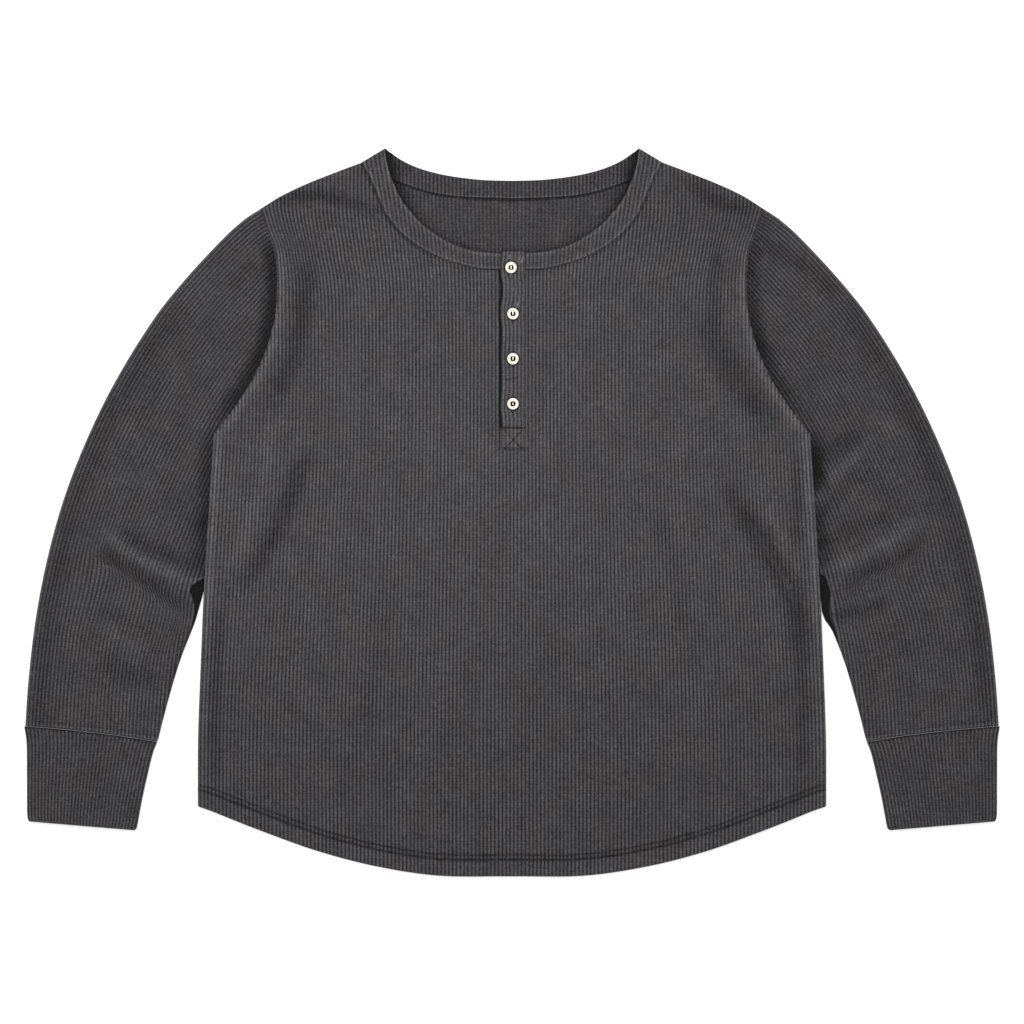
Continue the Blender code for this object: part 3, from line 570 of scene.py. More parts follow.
def frontSurface(place, y):
    x = bodyX(place, y, body["edgeTurn"])
    phase = place / body["pitch"]
    lift, _ = folds(x, y, bodyFolds)
    edge, _ = toPath(np.abs(x), y, bodyEdge)
    low = ease((-85.0 - y) / 50.0)  # the sleeve is clear of the side below here
    rolled = 2.4 - 1.6 * low
    crown = 1.0 - ease((y - 228.0) / 34.0)  # the seam lies soft and flat at the shoulder
    roll = rolled * (1.0 - ease((edge - 4.0) / 11.0)) * (0.25 + 0.75 * crown)
    shoulderGap, _ = toPath(np.abs(x), y, curve(body["shoulder"], 2))
    dropped = 1.5 * (1.0 - rounded(shoulderGap, 2.0))
    neckGap, _ = toPath(np.abs(x), y, curve(body["frontNeck"], 3))
    tucked = 1.3 * line(neckGap, 1.6)
    hem = hemDistance(x, y)
    turned = 0.6 * (1.0 - ease((hem - body["hemDepth"]) / 1.5)) * ease(hem / 2.0)
    stitches = 0.5 * line(hem - stitchRows[0], 1.0) + 0.35 * line(hem - stitchRows[1], 0.8)
    pucker = 0.10 * np.sin(x / 4.3 + 2.0 * np.sin(x / 31.0)) * line(hem - 14.0, 5.0)
    buttonGap = np.min([np.abs(y - spot[1]) for spot in buttons], axis=0)
    slotWidth = 0.8 + 0.5 * ease(buttonGap / 20.0)
    slotShare = ease((y - 56.0) / 4.0) * (0.2 + 0.8 * ease((y - 76.0) / 6.0)) * (y < 242.0)
    slotX = x - placketLeft(y) + 1.3
    slot = slotShare * line(slotX, 1.2 * slotWidth) * 1.2
    rib = body["ribHeight"] * ribWave(phase) * (1.0 - 0.35 * line(edge, 2.0))
    z = 3.3 + rib + roll + lift - dropped - tucked + turned - stitches + pucker - slot
    z = z + swell(x, y, 1.0, 0.42) * clamp(edge / 20.0)
    # painted highlight along the rolled side and armhole edge, painted shade where it turns under;
    # the hem's stitch rows darker, partly their dark joints, partly painted shade in the grooves
    wearAndPaintedLight = 0.37 * line(edge - 4.5, 4.0) * (1.0 - 0.6 * low) * (0.2 + 0.8 * crown)
    wearAndPaintedLight = (
        wearAndPaintedLight - 0.30 * line(edge, 1.0) * crown - 0.58 * line(hem - stitchRows[0], 1.2)
        - 0.48 * line(hem - stitchRows[1], 0.9)
    )
    # painted shade between the stitch rows; darker towards the hem, lighter on the turned hem edge
    wearAndPaintedLight = (
        wearAndPaintedLight - 0.12 * line(hem - 17.5, 2.4) - 0.15 * ease((-20.0 - y) / 260.0) + 0.03 * (hem < 14.0)
    )
    # lighter across the middle of the chest, darker towards the shoulders
    wearAndPaintedLight = wearAndPaintedLight + 0.06 * hump(x / 230.0) * ease((y + 60.0) / 160.0)
    wearAndPaintedLight = wearAndPaintedLight - 0.10 * ease((y - 215.0) / 60.0) * ease((np.abs(x) - 70.0) / 60.0)
    # painted light on the folds, ridges paler and troughs darker; painted shade in the neck seam
    wearAndPaintedLight = wearAndPaintedLight + 0.16 * lift - 0.6 * line(neckGap - 0.3, 1.0)
    # painted shadow in the gap beside the placket's free edge
    wearAndPaintedLight = wearAndPaintedLight - 1.9 * slotShare * line(slotX, slotWidth)
    return x, y, z, phase, y, wearAndPaintedLight


# this share of the rows goes into the first span
def crowd(v, share, span, total):
    return np.where(
        v < share, span * v / share, span + (total - span) * (v - share) / (1.0 - share),
    )


# columns between two ribs, rows between two lines
def gridBetween(first, last, low, high, surface, share=0.0):
    def place(u, v):
        rib = (first + (last - first) * u) * body["pitch"]
        total = high(rib) - low(rib)
        rise = crowd(v, share, body["hemRows"], total) if share else total * v
        return surface(rib, low(rib) + rise)
    return place


def frontLowTop(rib):
    return np.where(np.abs(rib) > armReach + 0.01, armLine(rib, body["edgeTurn"]), shelf(rib))


edgeRoll = ((0.45, 0.35), (0.85, 1), (0.85, 1.7), (0.3, 2.4), (-2.5, 2.7))
hemRoll = ((0.3, 0.3), (0.55, 0.9), (0.4, 1.5), (-1, 1.8), (-14, 1.7))


def makeFront():
    bm = bmesh.new()
    ribs = body["edgeRib"]
    placedGrid(
        bm, int(ribs * 6), 108, gridBetween(-ribs, ribs, hemLine, frontLowTop, frontSurface, 0.26),
    )
    top = lambda rib: topLine(rib, "frontNeck", 2.0)
    for first, last in (
        (-body["armholeRib"], body["slotLeft"]), (body["slotRight"], body["armholeRib"]),
    ):
        placedGrid(
            bm, int((last - first) * 6), 40, gridBetween(first, last, shelf, top, frontSurface),
        )
    bmesh.ops.remove_doubles(bm, verts=bm.verts, dist=joined)

    def atSide(spot):
        return gapTo(spot, bodyEdge) < 1.9 and -277.0 < spot.y < 268.0

    hem = rimOf(bm, atHem)
    side = [edge for edge in rimOf(bm, atSide) if edge not in set(hem)]
    turnEdge(bm, side, edgeRoll)
    turnEdge(bm, hem, hemRoll)
    return finished("frontPanel", bm, bodyKnit, ["front"])


def backSurface(place, y):
    inset = 1.6 + 3.4 * ease((y + 95.0) / 30.0)
    x = bodyX(place, y, inset)
    phase = place / body["pitch"]
    inside = ease((y - 200.0) / 30.0) * (1.0 - clamp((np.abs(x) - 118.0) / 10.0))
    hem = hemDistance(x, y)
    seam, _ = toPath(np.abs(x), y, curve(body["backNeck"], 3))
    z = 0.35 + 0.35 * ribWave(phase) + inside * 0.55
    z = z - 0.5 * line(seam - 0.5, 1.2) + swell(x, y, 2.0, 0.10) * inside
    # painted shade in the neck seam, a little darker all over; the hem's stitch rows darker, partly
    # their dark joints, partly painted shade
    wearAndPaintedLight = -0.5 * line(seam - 0.6, 1.0) - 0.06
    wearAndPaintedLight = wearAndPaintedLight - 0.9 * line(hem - stitchRows[0], 1.1) - 0.5 * line(hem - stitchRows[1], 0.9)
    # painted shadow under the front band's free edge, deeper towards the band's tips
    frontGap, _ = toPath(np.abs(x), y, curve(neckband["frontFree"], 3))
    tips = ease((np.abs(x) - 70.0) / 45.0)
    wearAndPaintedLight = (
        wearAndPaintedLight - (0.35 + 0.15 * tips) * line(frontGap, 5.0 + 5.0 * tips) - 0.12 * tips
        - 0.5 * tips * line(frontGap, 2.2)
    )
    return x, y, z, phase, y, wearAndPaintedLight


neckband = {
    "frontFree": (
        (119.4, 342), (118.6, 331), (114.7, 316.6), (107.5, 299.5), (98.5, 285.5), (84, 269.5),
        (68, 258), (52, 249.6), (34.5, 245), (20, 243.2), (0, 242.8),
    ),
    "backFree": (
        (119.4, 342), (108, 333), (95, 326), (79, 320.3), (57, 315.4), (28, 312), (0, 311.1),
    ),
    "leftEnd": 7,  # both front ends run in under the placket
    "rightEnd": 5,
    "lean": 0.0013,
    "ribHeight": 0.5,
}


def backLowTop(rib):
    return np.where(np.abs(rib) > armReach + 0.01, armLine(rib, 5.0), shelf(rib, False))


def makeBack():
    bm = bmesh.new()
    ribs = body["edgeRib"]
    placedGrid(
        bm, int(ribs * 4), 72, gridBetween(-ribs, ribs, hemLine, backLowTop, backSurface, 0.3),
    )
    ribs = body["armholeRib"]
    top = lambda rib: topLine(rib, "backNeck", 2.0)
    low = lambda rib: shelf(rib, False)
    placedGrid(bm, int(ribs * 5), 80, gridBetween(-ribs, ribs, low, top, backSurface))
    bmesh.ops.remove_doubles(bm, verts=bm.verts, dist=joined)

    turnEdge(bm, rimOf(bm, atHem), ((0.3, -0.3), (0.4, -0.7), (-1.0, -1.0), (-14.0, -1.0)))
    return finished("backPanel", bm, shadedInsideKnit, ["back"])


# Sleeves: flattened tubes, their ribs parallel to the outer fold.

sleeve = {
    "outer": (
        (238.8, 284), (252.9, 274.5), (273.5, 255.7), (308.3, 218.1), (337.9, 180.5),
        (372.7, 124.1), (400.4, 67.7), (422.1, 11.3), (437.6, -45.1), (448.4, -101.5),
        (455, -157.9), (458, -201.2),
    ),
    "inner": (
        (284.6, -60), (287.5, -70), (292, -80), (297.5, -101.5), (312, -139), (323.4, -177),
        (333.5, -216.2),
    ),
    "cuffSeam": ((458, -201.2), (414.5, -204.9), (366.6, -210.6), (333.5, -216.2)),
    "pitch": 3.5,
    "underlap": 4,
    "ribHeight": 0.57,
    "height": 3.6,
    "rows": 150,
    "cuffRows": 10,  # rows stand close together this near the cuff
    "rounding": 2.6,  # radius of the outer fold
}
sleeveFolds = {
    "left": (  # the wearer's left, +X
        (((276, -10), (294, 22), (306, 36), (324, 52), (346, 74)), 8, 1.9, 0),
        (((290, -4), (306, 12), (324, 30), (342, 46)), 8, -1.3, 0),
        (((278, 50), (294, 56), (314, 64), (336, 78)), 18, -1.5, 0),
        (((324, 92), (350, 82), (380, 64)), 13, 1, 0),
        (((284, -38), (318, -17), (341, -8), (370, 0)), 12, -1.6, 0),
        (
            ((258, -72), (284, -60), (300, -53), (322, -43), (346, -31), (369, -17), (396, -2)), 10,
            2.3, 0,
        ),
        (((300, -74), (327, -59), (351, -50), (374, -36), (394, -18)), 10, -2.1, 5),
        (((306, -84), (337, -80), (368, -70)), 6, 0.8, 0),
        (((290, -101), (318, -96), (337, -92), (366, -82)), 9, -1.9, 1.6),
        (((336, -150), (362, -134), (392, -116)), 12, -0.9, 0),
        (((222, 256), (247, 247), (271, 232), (300, 210), (318, 196)), 13, -1.8, 0),
        (((352, 130), (380, 66), (398, 6)), 15, -0.4, 0),
    ),
    "right": (  # mirrored, so written for +X as well
        (((282, -56), (305, -48), (321, -42), (345, -31), (376, -12)), 10, -2, 0),
        (
            ((272, -78), (290, -69), (307, -62), (326, -55), (350, -42), (373, -26), (398, -10)), 9,
            2.2, 0,
        ),
        (((288, -104), (308, -87), (326, -76), (345, -62), (368, -48), (400, -26)), 13, -2.5, 5.5),
        (((280, -30), (310, 0), (340, 16)), 18, -0.9, 0),
        (((330, 24), (362, 32), (392, 22)), 12, 0.6, 0),
        (((336, -112), (366, -104), (392, -92)), 9, -0.8, 0),
        (((335, -132), (362, -124), (400, -102)), 9, 0.8, 0),
        (((328, -160), (356, -154), (392, -138)), 16, -1.8, 0),
        (((232, 238), (248, 228), (264, 204)), 11, -1.2, 0),
        (((300, 204), (330, 126), (352, 46)), 17, -0.4, 0),
    ),
}
shades = {  # how dark it is under the body's edge: height, share
    "left": (
        (284, 0.15), (262, 0.45), (240, 0.5), (200, 0.75), (155, 1.1), (130, 0.8), (100, 0.5),
        (80, 0.3), (66, 0.9), (50, 1.5), (36, 1.6), (24, 1), (14, 0.3), (0, 0.75), (-30, 0.85),
        (-50, 0.6),
    ),
    "right": (
        (284, 0), (262, 0.15), (244, 0.9), (200, 1.1), (150, 1.1), (110, 1), (92, 0.6), (80, 0.25),
        (62, 0.7), (0, 0.85), (-40, 0.65), (-55, 0.4),
    ),
}
openings = {  # where the sleeve leaves the side one looks under its edge: height, width
    "left": (
        (-118, 0), (-108, 2.4), (-101, 3.4), (-87, 4.6), (-73, 7.8), (-64, 9), (-60, 7), (-56.5, 0),
    ),
    "right": (
        (-116, 0), (-104, 0.6), (-94, 1.6), (-86, 3.6), (-79, 7), (-73, 9.6), (-69, 10), (-64.5, 6),
        (-61, 0),
    ),
}
slack = ((-112, 0), (-106, 1.5), (-101, 3.4), (-93, 3.8), (-85, 2.5), (-76, 0))


def foldLine():  # the outer fold, carried on straight at both ends, with its inward normals
    path = curve(sleeve["outer"], 14)
    first = path[0] - (path[1] - path[0]) / np.hypot(*(path[1] - path[0])) * 90.0
    last = path[-1] + (path[-1] - path[-2]) / np.hypot(*(path[-1] - path[-2])) * 90.0
    before = np.linspace(first, path[0], 24, endpoint=False)
    path = np.vstack([before, path, np.linspace(path[-1], last, 25)[1:]])
    run = lengths(path)
    even = np.arange(0.0, run[-1], 4.0)
    path = np.stack([np.interp(even, run, path[:, 0]), np.interp(even, run, path[:, 1])], 1)
    heading = np.unwrap(np.arctan2(*np.gradient(path, axis=0).T[::-1]))
    padded = np.pad(heading, 9, mode="edge")
    heading = np.convolve(padded, np.ones(19) / 19.0, mode="valid")
    return even, path, heading


foldRun, foldPath, foldHeading = foldLine()


def fromFold(run, depth):  # the point at this depth inside the fold
    heading = np.interp(run, foldRun, foldHeading)
    x = np.interp(run, foldRun, foldPath[:, 0]) + depth * np.sin(heading)
    y = np.interp(run, foldRun, foldPath[:, 1]) - depth * np.cos(heading)
    return x, y


def foldPlaces(path):  # depth and run of each point of a path
    found = []
    for point in path:
        away = point - foldPath
        ahead = away[:, 0] * np.cos(foldHeading) + away[:, 1] * np.sin(foldHeading)
        depth = away[:, 0] * np.sin(foldHeading) - away[:, 1] * np.cos(foldHeading)
        index = int(np.argmin(np.abs(ahead) + 1e3 * (depth < -3.0)))
        near = min(max(index, 1), len(foldRun) - 2)
        best = (1e9, 0.0, 0.0)
        for a, b in ((near - 1, near), (near, near + 1)):
            share = ahead[a] / (ahead[a] - ahead[b]) if ahead[a] != ahead[b] else 0.0
            miss = abs(share - 0.5)
            if miss < best[0]:
                best = (miss, depth[a] + (depth[b] - depth[a]) * share, foldRun[a] + 4.0 * share)
        found.append(best[1:])
    rows = np.array(found)
    rows = rows[np.argsort(rows[:, 0])]
    return rows


hiddenEdge = (
    bodyEdge[(bodyEdge[:, 1] > -60.0) & (bodyEdge[:, 1] < 280.0)][::-1] - (sleeve["underlap"], 0.0)
)
capStart = np.array(sleeve["outer"][0]) + (-6.6, 4.5)  # the cap runs in under the shoulder
upperEnds = foldPlaces(np.vstack([[capStart], hiddenEdge, [sleeve["inner"][0]]]))
underEnds = upperEnds[(upperEnds[:, 0] < 108.5) | (upperEnds[:, 1] > 296.0)]
bridge = ((109.3, 212), (110.5, 232), (112, 262), (114, 290))  # past the underarm corner
topEnds = np.vstack(
    [upperEnds[upperEnds[:, 0] < 106.5], bridge, upperEnds[upperEnds[:, 1] > 314.0]],
)
innerLine = curve(sleeve["inner"], 6)
lowerEnds = foldPlaces(np.vstack([curve(sleeve["cuffSeam"], 6), innerLine[::-1][1:]]))
widest = min(upperEnds[-1, 0], lowerEnds[-1, 0])
print(f"sleeve: widest {widest:.1f} mm")


sleeveGathers = (
    (226, 250, 236, 244, 0.8),
    (224, 244, 234, 236, 0.8),
    (223, 236, 231, 228, 0.8),
    (222, 228, 229, 219, 0.8),
    (230, 258, 241, 254, 0.8),
)


def sleeveSurface(word):
    made = sleeveFolds[word]
    seed = 3.0 if word == "left" else 4.0

    def place(u, v):
        depth = np.abs(2.0 * u - 1.0) * widest
        upper = u > 0.5
        start = np.interp(depth, *topEnds.T)
        start = np.where(upper, start, np.interp(depth, *underEnds.T))
        end = np.interp(depth, *lowerEnds.T)
        near = np.minimum(sleeve["cuffRows"], 0.3 * (end - start))
        run = end - crowd(1.0 - v, 0.08, near, end - start)
        x, y = fromFold(run, depth)
        phase = depth / sleeve["pitch"] + 0.5
        lift, drift = folds(x, y, made)
        inside = clamp(depth / 12.0) * clamp((widest - depth) / 8.0)
        inside = inside * clamp(v / 0.04) * clamp((1.0 - v) / 0.06)
        seam, _ = toPath(x, y, bodyEdge)
        flank = lookup(np.vstack([body["side"][:-1], body["armhole"]]), y, False)
        hidden = (x < flank) & (y > -96.0)
        seam = np.where(hidden, 0.0, seam)
        inner, _ = toPath(x, y, innerLine)
        cuff, _ = toPath(x, y, curve(sleeve["cuffSeam"], 3))
        crown = 1.0 - ease((y - 232.0) / 34.0)
        shade = lookup(shades[word], y, False)
        nearBody = 1.0 - ease(seam / (6.0 + 11.0 * crown))
        nearBody = nearBody * np.where(hidden, 1.0, ease((y + 66.0) / 6.0))
        closing = rounded(depth, sleeve["rounding"])
        closing = closing * rounded(inner + 0.05, 1.8)
        puff = 0.9 * ease(depth / 22.0) * ease(inner / 16.0) * ease(cuff / 14.0)
        rib = sleeve["ribHeight"] * ribWave(phase) * clamp(0.3 + depth / 4.0) * clamp(cuff / 5.0)
        top = (
            sleeve["height"] + puff + rib + lift * inside - (1.3 + 0.8 * crown) * nearBody
            + swell(x, y, seed, 0.3) * inside
        )
        top = top + 0.38 * line(cuff - 2.6, 1.6) - 1.0 * line(cuff, 0.9)
        lip = lookup(openings[word], y, False)
        well = (lip > 0.1) * (y < -50.0) * (1.0 - ease((inner - lip) / 1.3))
        top = top + 0.9 * clamp(lip) * line(inner - lip - 3.0, 1.8) - 3.2 * well
        gathers = strokes(x, y, sleeveGathers)
        top = top - 0.35 * gathers
        under = 0.35 - 0.2 * ribWave(phase) + 0.1
        middle = 1.7
        z = np.where(
            upper, middle + (np.maximum(top, 1.75) - middle) * closing,
            middle - (middle - under) * closing,
        )
        # painted shade on the sleeve under the body's rolled edge, as much as the shades table
        # gives; painted light on the folds, ridges paler and troughs darker
        dark = 0.34 * (1.0 - ease(seam / 19.0)) + 0.42 * line(seam - 4.0, 7.5)
        wearAndPaintedLight = 0.15 * lift * inside - shade * dark * (y > -62.0)
        # at the cuff seam a painted highlight on its rise and painted shade in its groove; painted
        # shadow in the opening under the sleeve's edge
        wearAndPaintedLight = (
            wearAndPaintedLight + 0.25 * line(cuff - 2.2, 1.8) - 0.6 * line(cuff + 0.1, 0.6)
            - 0.22 * line(cuff - 5.0, 0.9) - 2.6 * well
        )
        # painted shade along the outer fold's flank, a painted highlight on the fold itself
        wearAndPaintedLight = (
            wearAndPaintedLight - 0.24 * line(depth - 13.0, 9.0) * ease((216.0 - y) / 60.0)
            + 0.14 * line(depth - 2.0, 2.5)
        )
        # painted highlight on the lip lifted beside the opening
        wearAndPaintedLight = wearAndPaintedLight + 0.2 * clamp(lip) * line(inner - lip - 2.5, 1.5)
        # painted shade in the gathers and along the inner edge below the opening
        innerEdgeShade = 0.42 if word == "right" else 0.2
        wearAndPaintedLight = (
            wearAndPaintedLight - 0.45 * gathers
            - innerEdgeShade * line(inner, 2.6) * ease((-92.0 - y) / 12.0) * ease((y + 200.0) / 40.0)
        )
        wearAndPaintedLight = np.where(upper, wearAndPaintedLight, -0.02)
        bent = clamp(depth / 16.0) * clamp(inner / 20.0) * clamp(v / 0.04) * clamp((1.0 - v) / 0.06)
        x = x + np.where(upper, drift * bent, 0.0)
        if word == "left":  # its lower edge hangs a little closer to the body
            x = x - lookup(slack, y, False) * (1.0 - ease(inner / 12.0))
        eased = line(seam, 11.0) * ease((y - 150.0) / 60.0)
        eased = eased * (1.0 - ease((y - 258.0) / 20.0)) * clamp(depth / 10.0)
        # its ribs steepen at the armhole
        y = y + np.where(upper, (2.8 if word == "left" else 0.9) * eased, 0.0)
        return x, y, z, phase, run, wearAndPaintedLight
    return place


def makeSleeve(word, side):
    bm = bmesh.new()
    columns = int(widest / sleeve["pitch"] * 8)
    placedGrid(bm, columns, sleeve["rows"], sleeveSurface(word))
    node = "sleeve_" + word
    return finished("sleeve" + word.capitalize(), bm, sleeveKnit, [node], side)


# Cuffs.

cuff = {
    "outer": ((458.6, -201.6), (456.4, -218), (456.1, -250), (455.9, -284), (454.4, -290.5)),
    "inner": ((333.8, -216.6), (338.4, -229.4), (346.9, -266), (352.6, -296), (354.6, -298.9)),
    "ribs": 34,
    "rows": 36,
    "height": 3.9,
    "ribHeight": 0.5,
    "rounding": 2.2,
}


def evenly(path, shares):  # points at these shares of a path's length
    run = lengths(path)
    run = run / run[-1]
    return np.interp(shares, run, path[:, 0]), np.interp(shares, run, path[:, 1])


def cuffSurface(u, v):
    upper = u <= 0.5
    v = crowd(v, 0.24, 0.09, 1.0)
    share = np.where(upper, 1.0 - 2.0 * u, 2.0 * u - 1.0)
    outX, outY = evenly(curve(cuff["outer"], 6), v)
    inX, inY = evenly(curve(cuff["inner"], 6), v)
    seam = curve(sleeve["cuffSeam"], 6)
    seamX, seamY = evenly(seam[::-1], share)
    inner, outer = cuff["inner"][0][1], cuff["outer"][0][1]
    bow = (seamY - 0.4 - (inner + (outer - inner) * share)) * (1.0 - v) ** 2
    x = inX + (outX - inX) * share
    y = inY + (outY - inY) * share + bow
    phase = share * cuff["ribs"]
    edge = np.minimum((outX - x), (x - inX))
    closing = rounded(edge + 0.02, cuff["rounding"])
    length = 82.0 * v
    rib = cuff["ribHeight"] * ribWave(phase) * clamp(length / 5.0)
    gather = 0.25 * np.sin(share * 44.0 + 2.0 * np.sin(share * 9.0)) * line(length - 4.0, 6.0)
    top = cuff["height"] + rib + 0.5 * np.sin(pi * share) + gather - 1.0 * line(length, 1.1)
    top = top - 0.3 * line(length - 82.0, 1.5) + swell(x, y, 5.0, 0.15)
    middle = 2.0
    under = 0.4 - 0.2 * ribWave(phase)
    z = np.where(upper, middle + (top - middle) * closing, middle - (middle - under) * closing)
    # painted shade in the cuff seam's groove, a painted highlight on the rolled hand edge, a little
    # darker all over
    wearAndPaintedLight = -0.9 * line(length, 1.1) + 0.12 * line(length - 82.0, 1.0) - 0.05
    return x, y, z, phase, y, wearAndPaintedLight


def makeCuff(word, side):
    bm = bmesh.new()
    placedGrid(bm, cuff["ribs"] * 8, cuff["rows"], cuffSurface)
    bmesh.ops.remove_doubles(bm, verts=bm.verts, dist=joined)
    hand = rimOf(
        bm, lambda spot: spot.y < -285.0 and (spot.x - 354.6) * 0.0842 - 298.9 + 2.5 > spot.y,
    )
    rise = lambda vert: 1.0 if vert.co.z > 2.0 else -1.0
    turnEdge(bm, hand, ((0.25, 0.3), (0.3, 0.8), (-0.4, 1.3), (-6.0, 1.4)), rise)
    node = "cuff_" + word
    return finished("cuff" + word.capitalize(), bm, trimKnit, [node], side)


# Neckband: a folded band in three lengths that meet at the shoulders.

def bandPaths(kind, end):
    if kind == "back":
        seam = curve(body["backNeck"], 8)
        free = curve(neckband["backFree"], 8)
        return [np.vstack([path * (-1.0, 1.0), path[::-1][1:]]) for path in (seam, free)]
    paths = []
    for table in (body["frontNeck"], neckband["frontFree"]):
        path = curve(table, 10)[::-1]
        path = path[path[:, 0] > end]
        start = [end, np.interp(end, *curve(table, 10)[::-1].T)]
        paths.append(np.vstack([[start], path]))
    return paths


shoulderFold = np.array([body["frontNeck"][0], neckband["frontFree"][0]])


def bandSurface(kind, end, side):
    seam, free = bandPaths(kind, end)

    def place(u, v):
        seamX, seamY = evenly(seam, v)
        freeX, freeY = evenly(free, v)
        width = np.hypot(freeX - seamX, freeY - seamY)
        below = 1.6 if kind == "back" else 0.0  # the seam allowance under the back's welt
        u = u * (1.0 + below / width) - below / width
        x = seamX + (freeX - seamX) * u
        y = seamY + (freeY - seamY) * u
        inward = width * u
        outward = width * (1.0 - u)
        turn, _ = toPath(np.abs(x), y, shoulderFold)
        over = 1.0 - rounded(turn, 2.2)
        if kind == "back":
            phase = x / body["pitch"]
            z = (
                2.0 + 0.35 * ribWave(phase) + 0.5 * line(inward - 1.0, 0.8)
                - 0.8 * line(inward + 0.9, 0.8)
            )
            z = z - 0.2 * over
            # painted highlight on the welt's ridge and painted shade in its seam; painted shadow
            # under the front band's free edge, deepening towards the band's tips
            wearAndPaintedLight = 0.50 * line(inward - 0.9, 0.6) - 1.1 * line(inward + 0.6, 0.6) - 0.06
            dark, _ = toPath(np.abs(x), y, curve(neckband["frontFree"], 3))
            wearAndPaintedLight = (
                wearAndPaintedLight
                - (0.50 * line(dark, 7.0) + 0.5 * line(dark, 2.5)) * ease((np.abs(x) - 60.0) / 20.0)
            )
            wearAndPaintedLight = wearAndPaintedLight - 0.42 * ease((np.abs(x) - 98.0) / 14.0)
        else:
            phase = x * np.exp(-neckband["lean"] * (y - 235.0)) / body["pitch"]
            crown = 0.5 * np.sin(pi * clamp(u)) ** 0.5
            ends = ease((14.5 - x) / 3.0) if side > 0.0 else ease((12.5 - x) / 2.5)
            z = 4.1 + crown + neckband["ribHeight"] * ribWave(phase) + swell(x, y, 6.0 + side, 0.12)
            z = z - 1.5 * line(inward, 0.9) - 1.2 * ends
            z = z - (z - 1.9) * over
            # painted shade in the seam under the band, painted highlights where it rolls over the
            # seam and along the free edge, painted shade where the ends run in under the placket
            lower = 0.35 + 0.65 * ease((282.0 - y) / 32.0)
            wearAndPaintedLight = (
                0.12 - 1.0 * lower * line(inward - 0.2, 1.0) + 0.46 * line(inward - 2.3, 1.2)
                + 0.30 * line(outward - 1.2, 1.6)
            )
            wearAndPaintedLight = wearAndPaintedLight - 0.5 * ends
        return side * x, y, z, phase, y, wearAndPaintedLight
    return place


freeRoll = ((0.3, 0.3), (0.45, 0.8), (0.2, 1.4), (-5, 1.6))


def makeNeckband():
    bm = bmesh.new()
    placedGrid(bm, 34, 300, bandSurface("back", 0.0, 1.0))
    bmesh.ops.reverse_faces(bm, faces=bm.faces)
    for end, side in ((neckband["leftEnd"], 1.0), (neckband["rightEnd"], -1.0)):
        made = placedGrid(bm, 30, 220, bandSurface("front", end, side))
        if side > 0.0:
            mine = set(made)
            bmesh.ops.reverse_faces(bm, faces=[f for f in bm.faces if f.verts[0] in mine])
    backFree = bandPaths("back", 0.0)[1]
    frontFree = curve(neckband["frontFree"], 8)

    def atFront(spot):
        return gapTo(spot, frontFree) < 0.6 and spot.z > 2.9 and spot.y < 338.0

    def atBack(spot):
        return gapTo(spot, backFree[len(backFree) // 2:]) < 0.6 and spot.z < 2.7 and spot.y < 338.0

    def atShoulder(spot):
        return gapTo(spot, shoulderFold) < 0.3 and spot.z < 2.4

    shoulder = rimOf(bm, atShoulder)
    turnEdge(bm, shoulder, ((0.15, 0.5), (0.15, 1.1), (-0.1, 1.6)))
    front = rimOf(bm, atFront)
    back = [edge for edge in rimOf(bm, atBack) if edge not in set(front)]
    turnEdge(bm, front, freeRoll)
    turnEdge(bm, back, ((0.3, 0.3), (0.45, 0.8), (0.2, 1.3), (-5.0, 1.6)))
    return finished("neckBand", bm, trimKnit, ["neckband"])


# Placket.

placket = {
    "left": -9.3,
    "right": 12.4,
    "bottom": 58.8,
    "top": 244.4,
    "scallop": 0.9,
    "ribHeight": 0.55,
    "columns": 40,
    "rows": 130,
}
buttons = ((-0.9, 229.4), (0.9, 186.1), (0.9, 143.8), (0.9, 101.5))


placketCreases = (
    (4.4, 232.8, 9.2, 242.4, 0.8),
    (7.6, 233.4, 12, 241, 0.7),
    (-3.6, 236.6, -1.2, 242.6, 0.7),
    (4.8, 146.6, 7.8, 156, 0.6),
    (3.8, 190.6, 7.2, 200, 0.6),
)


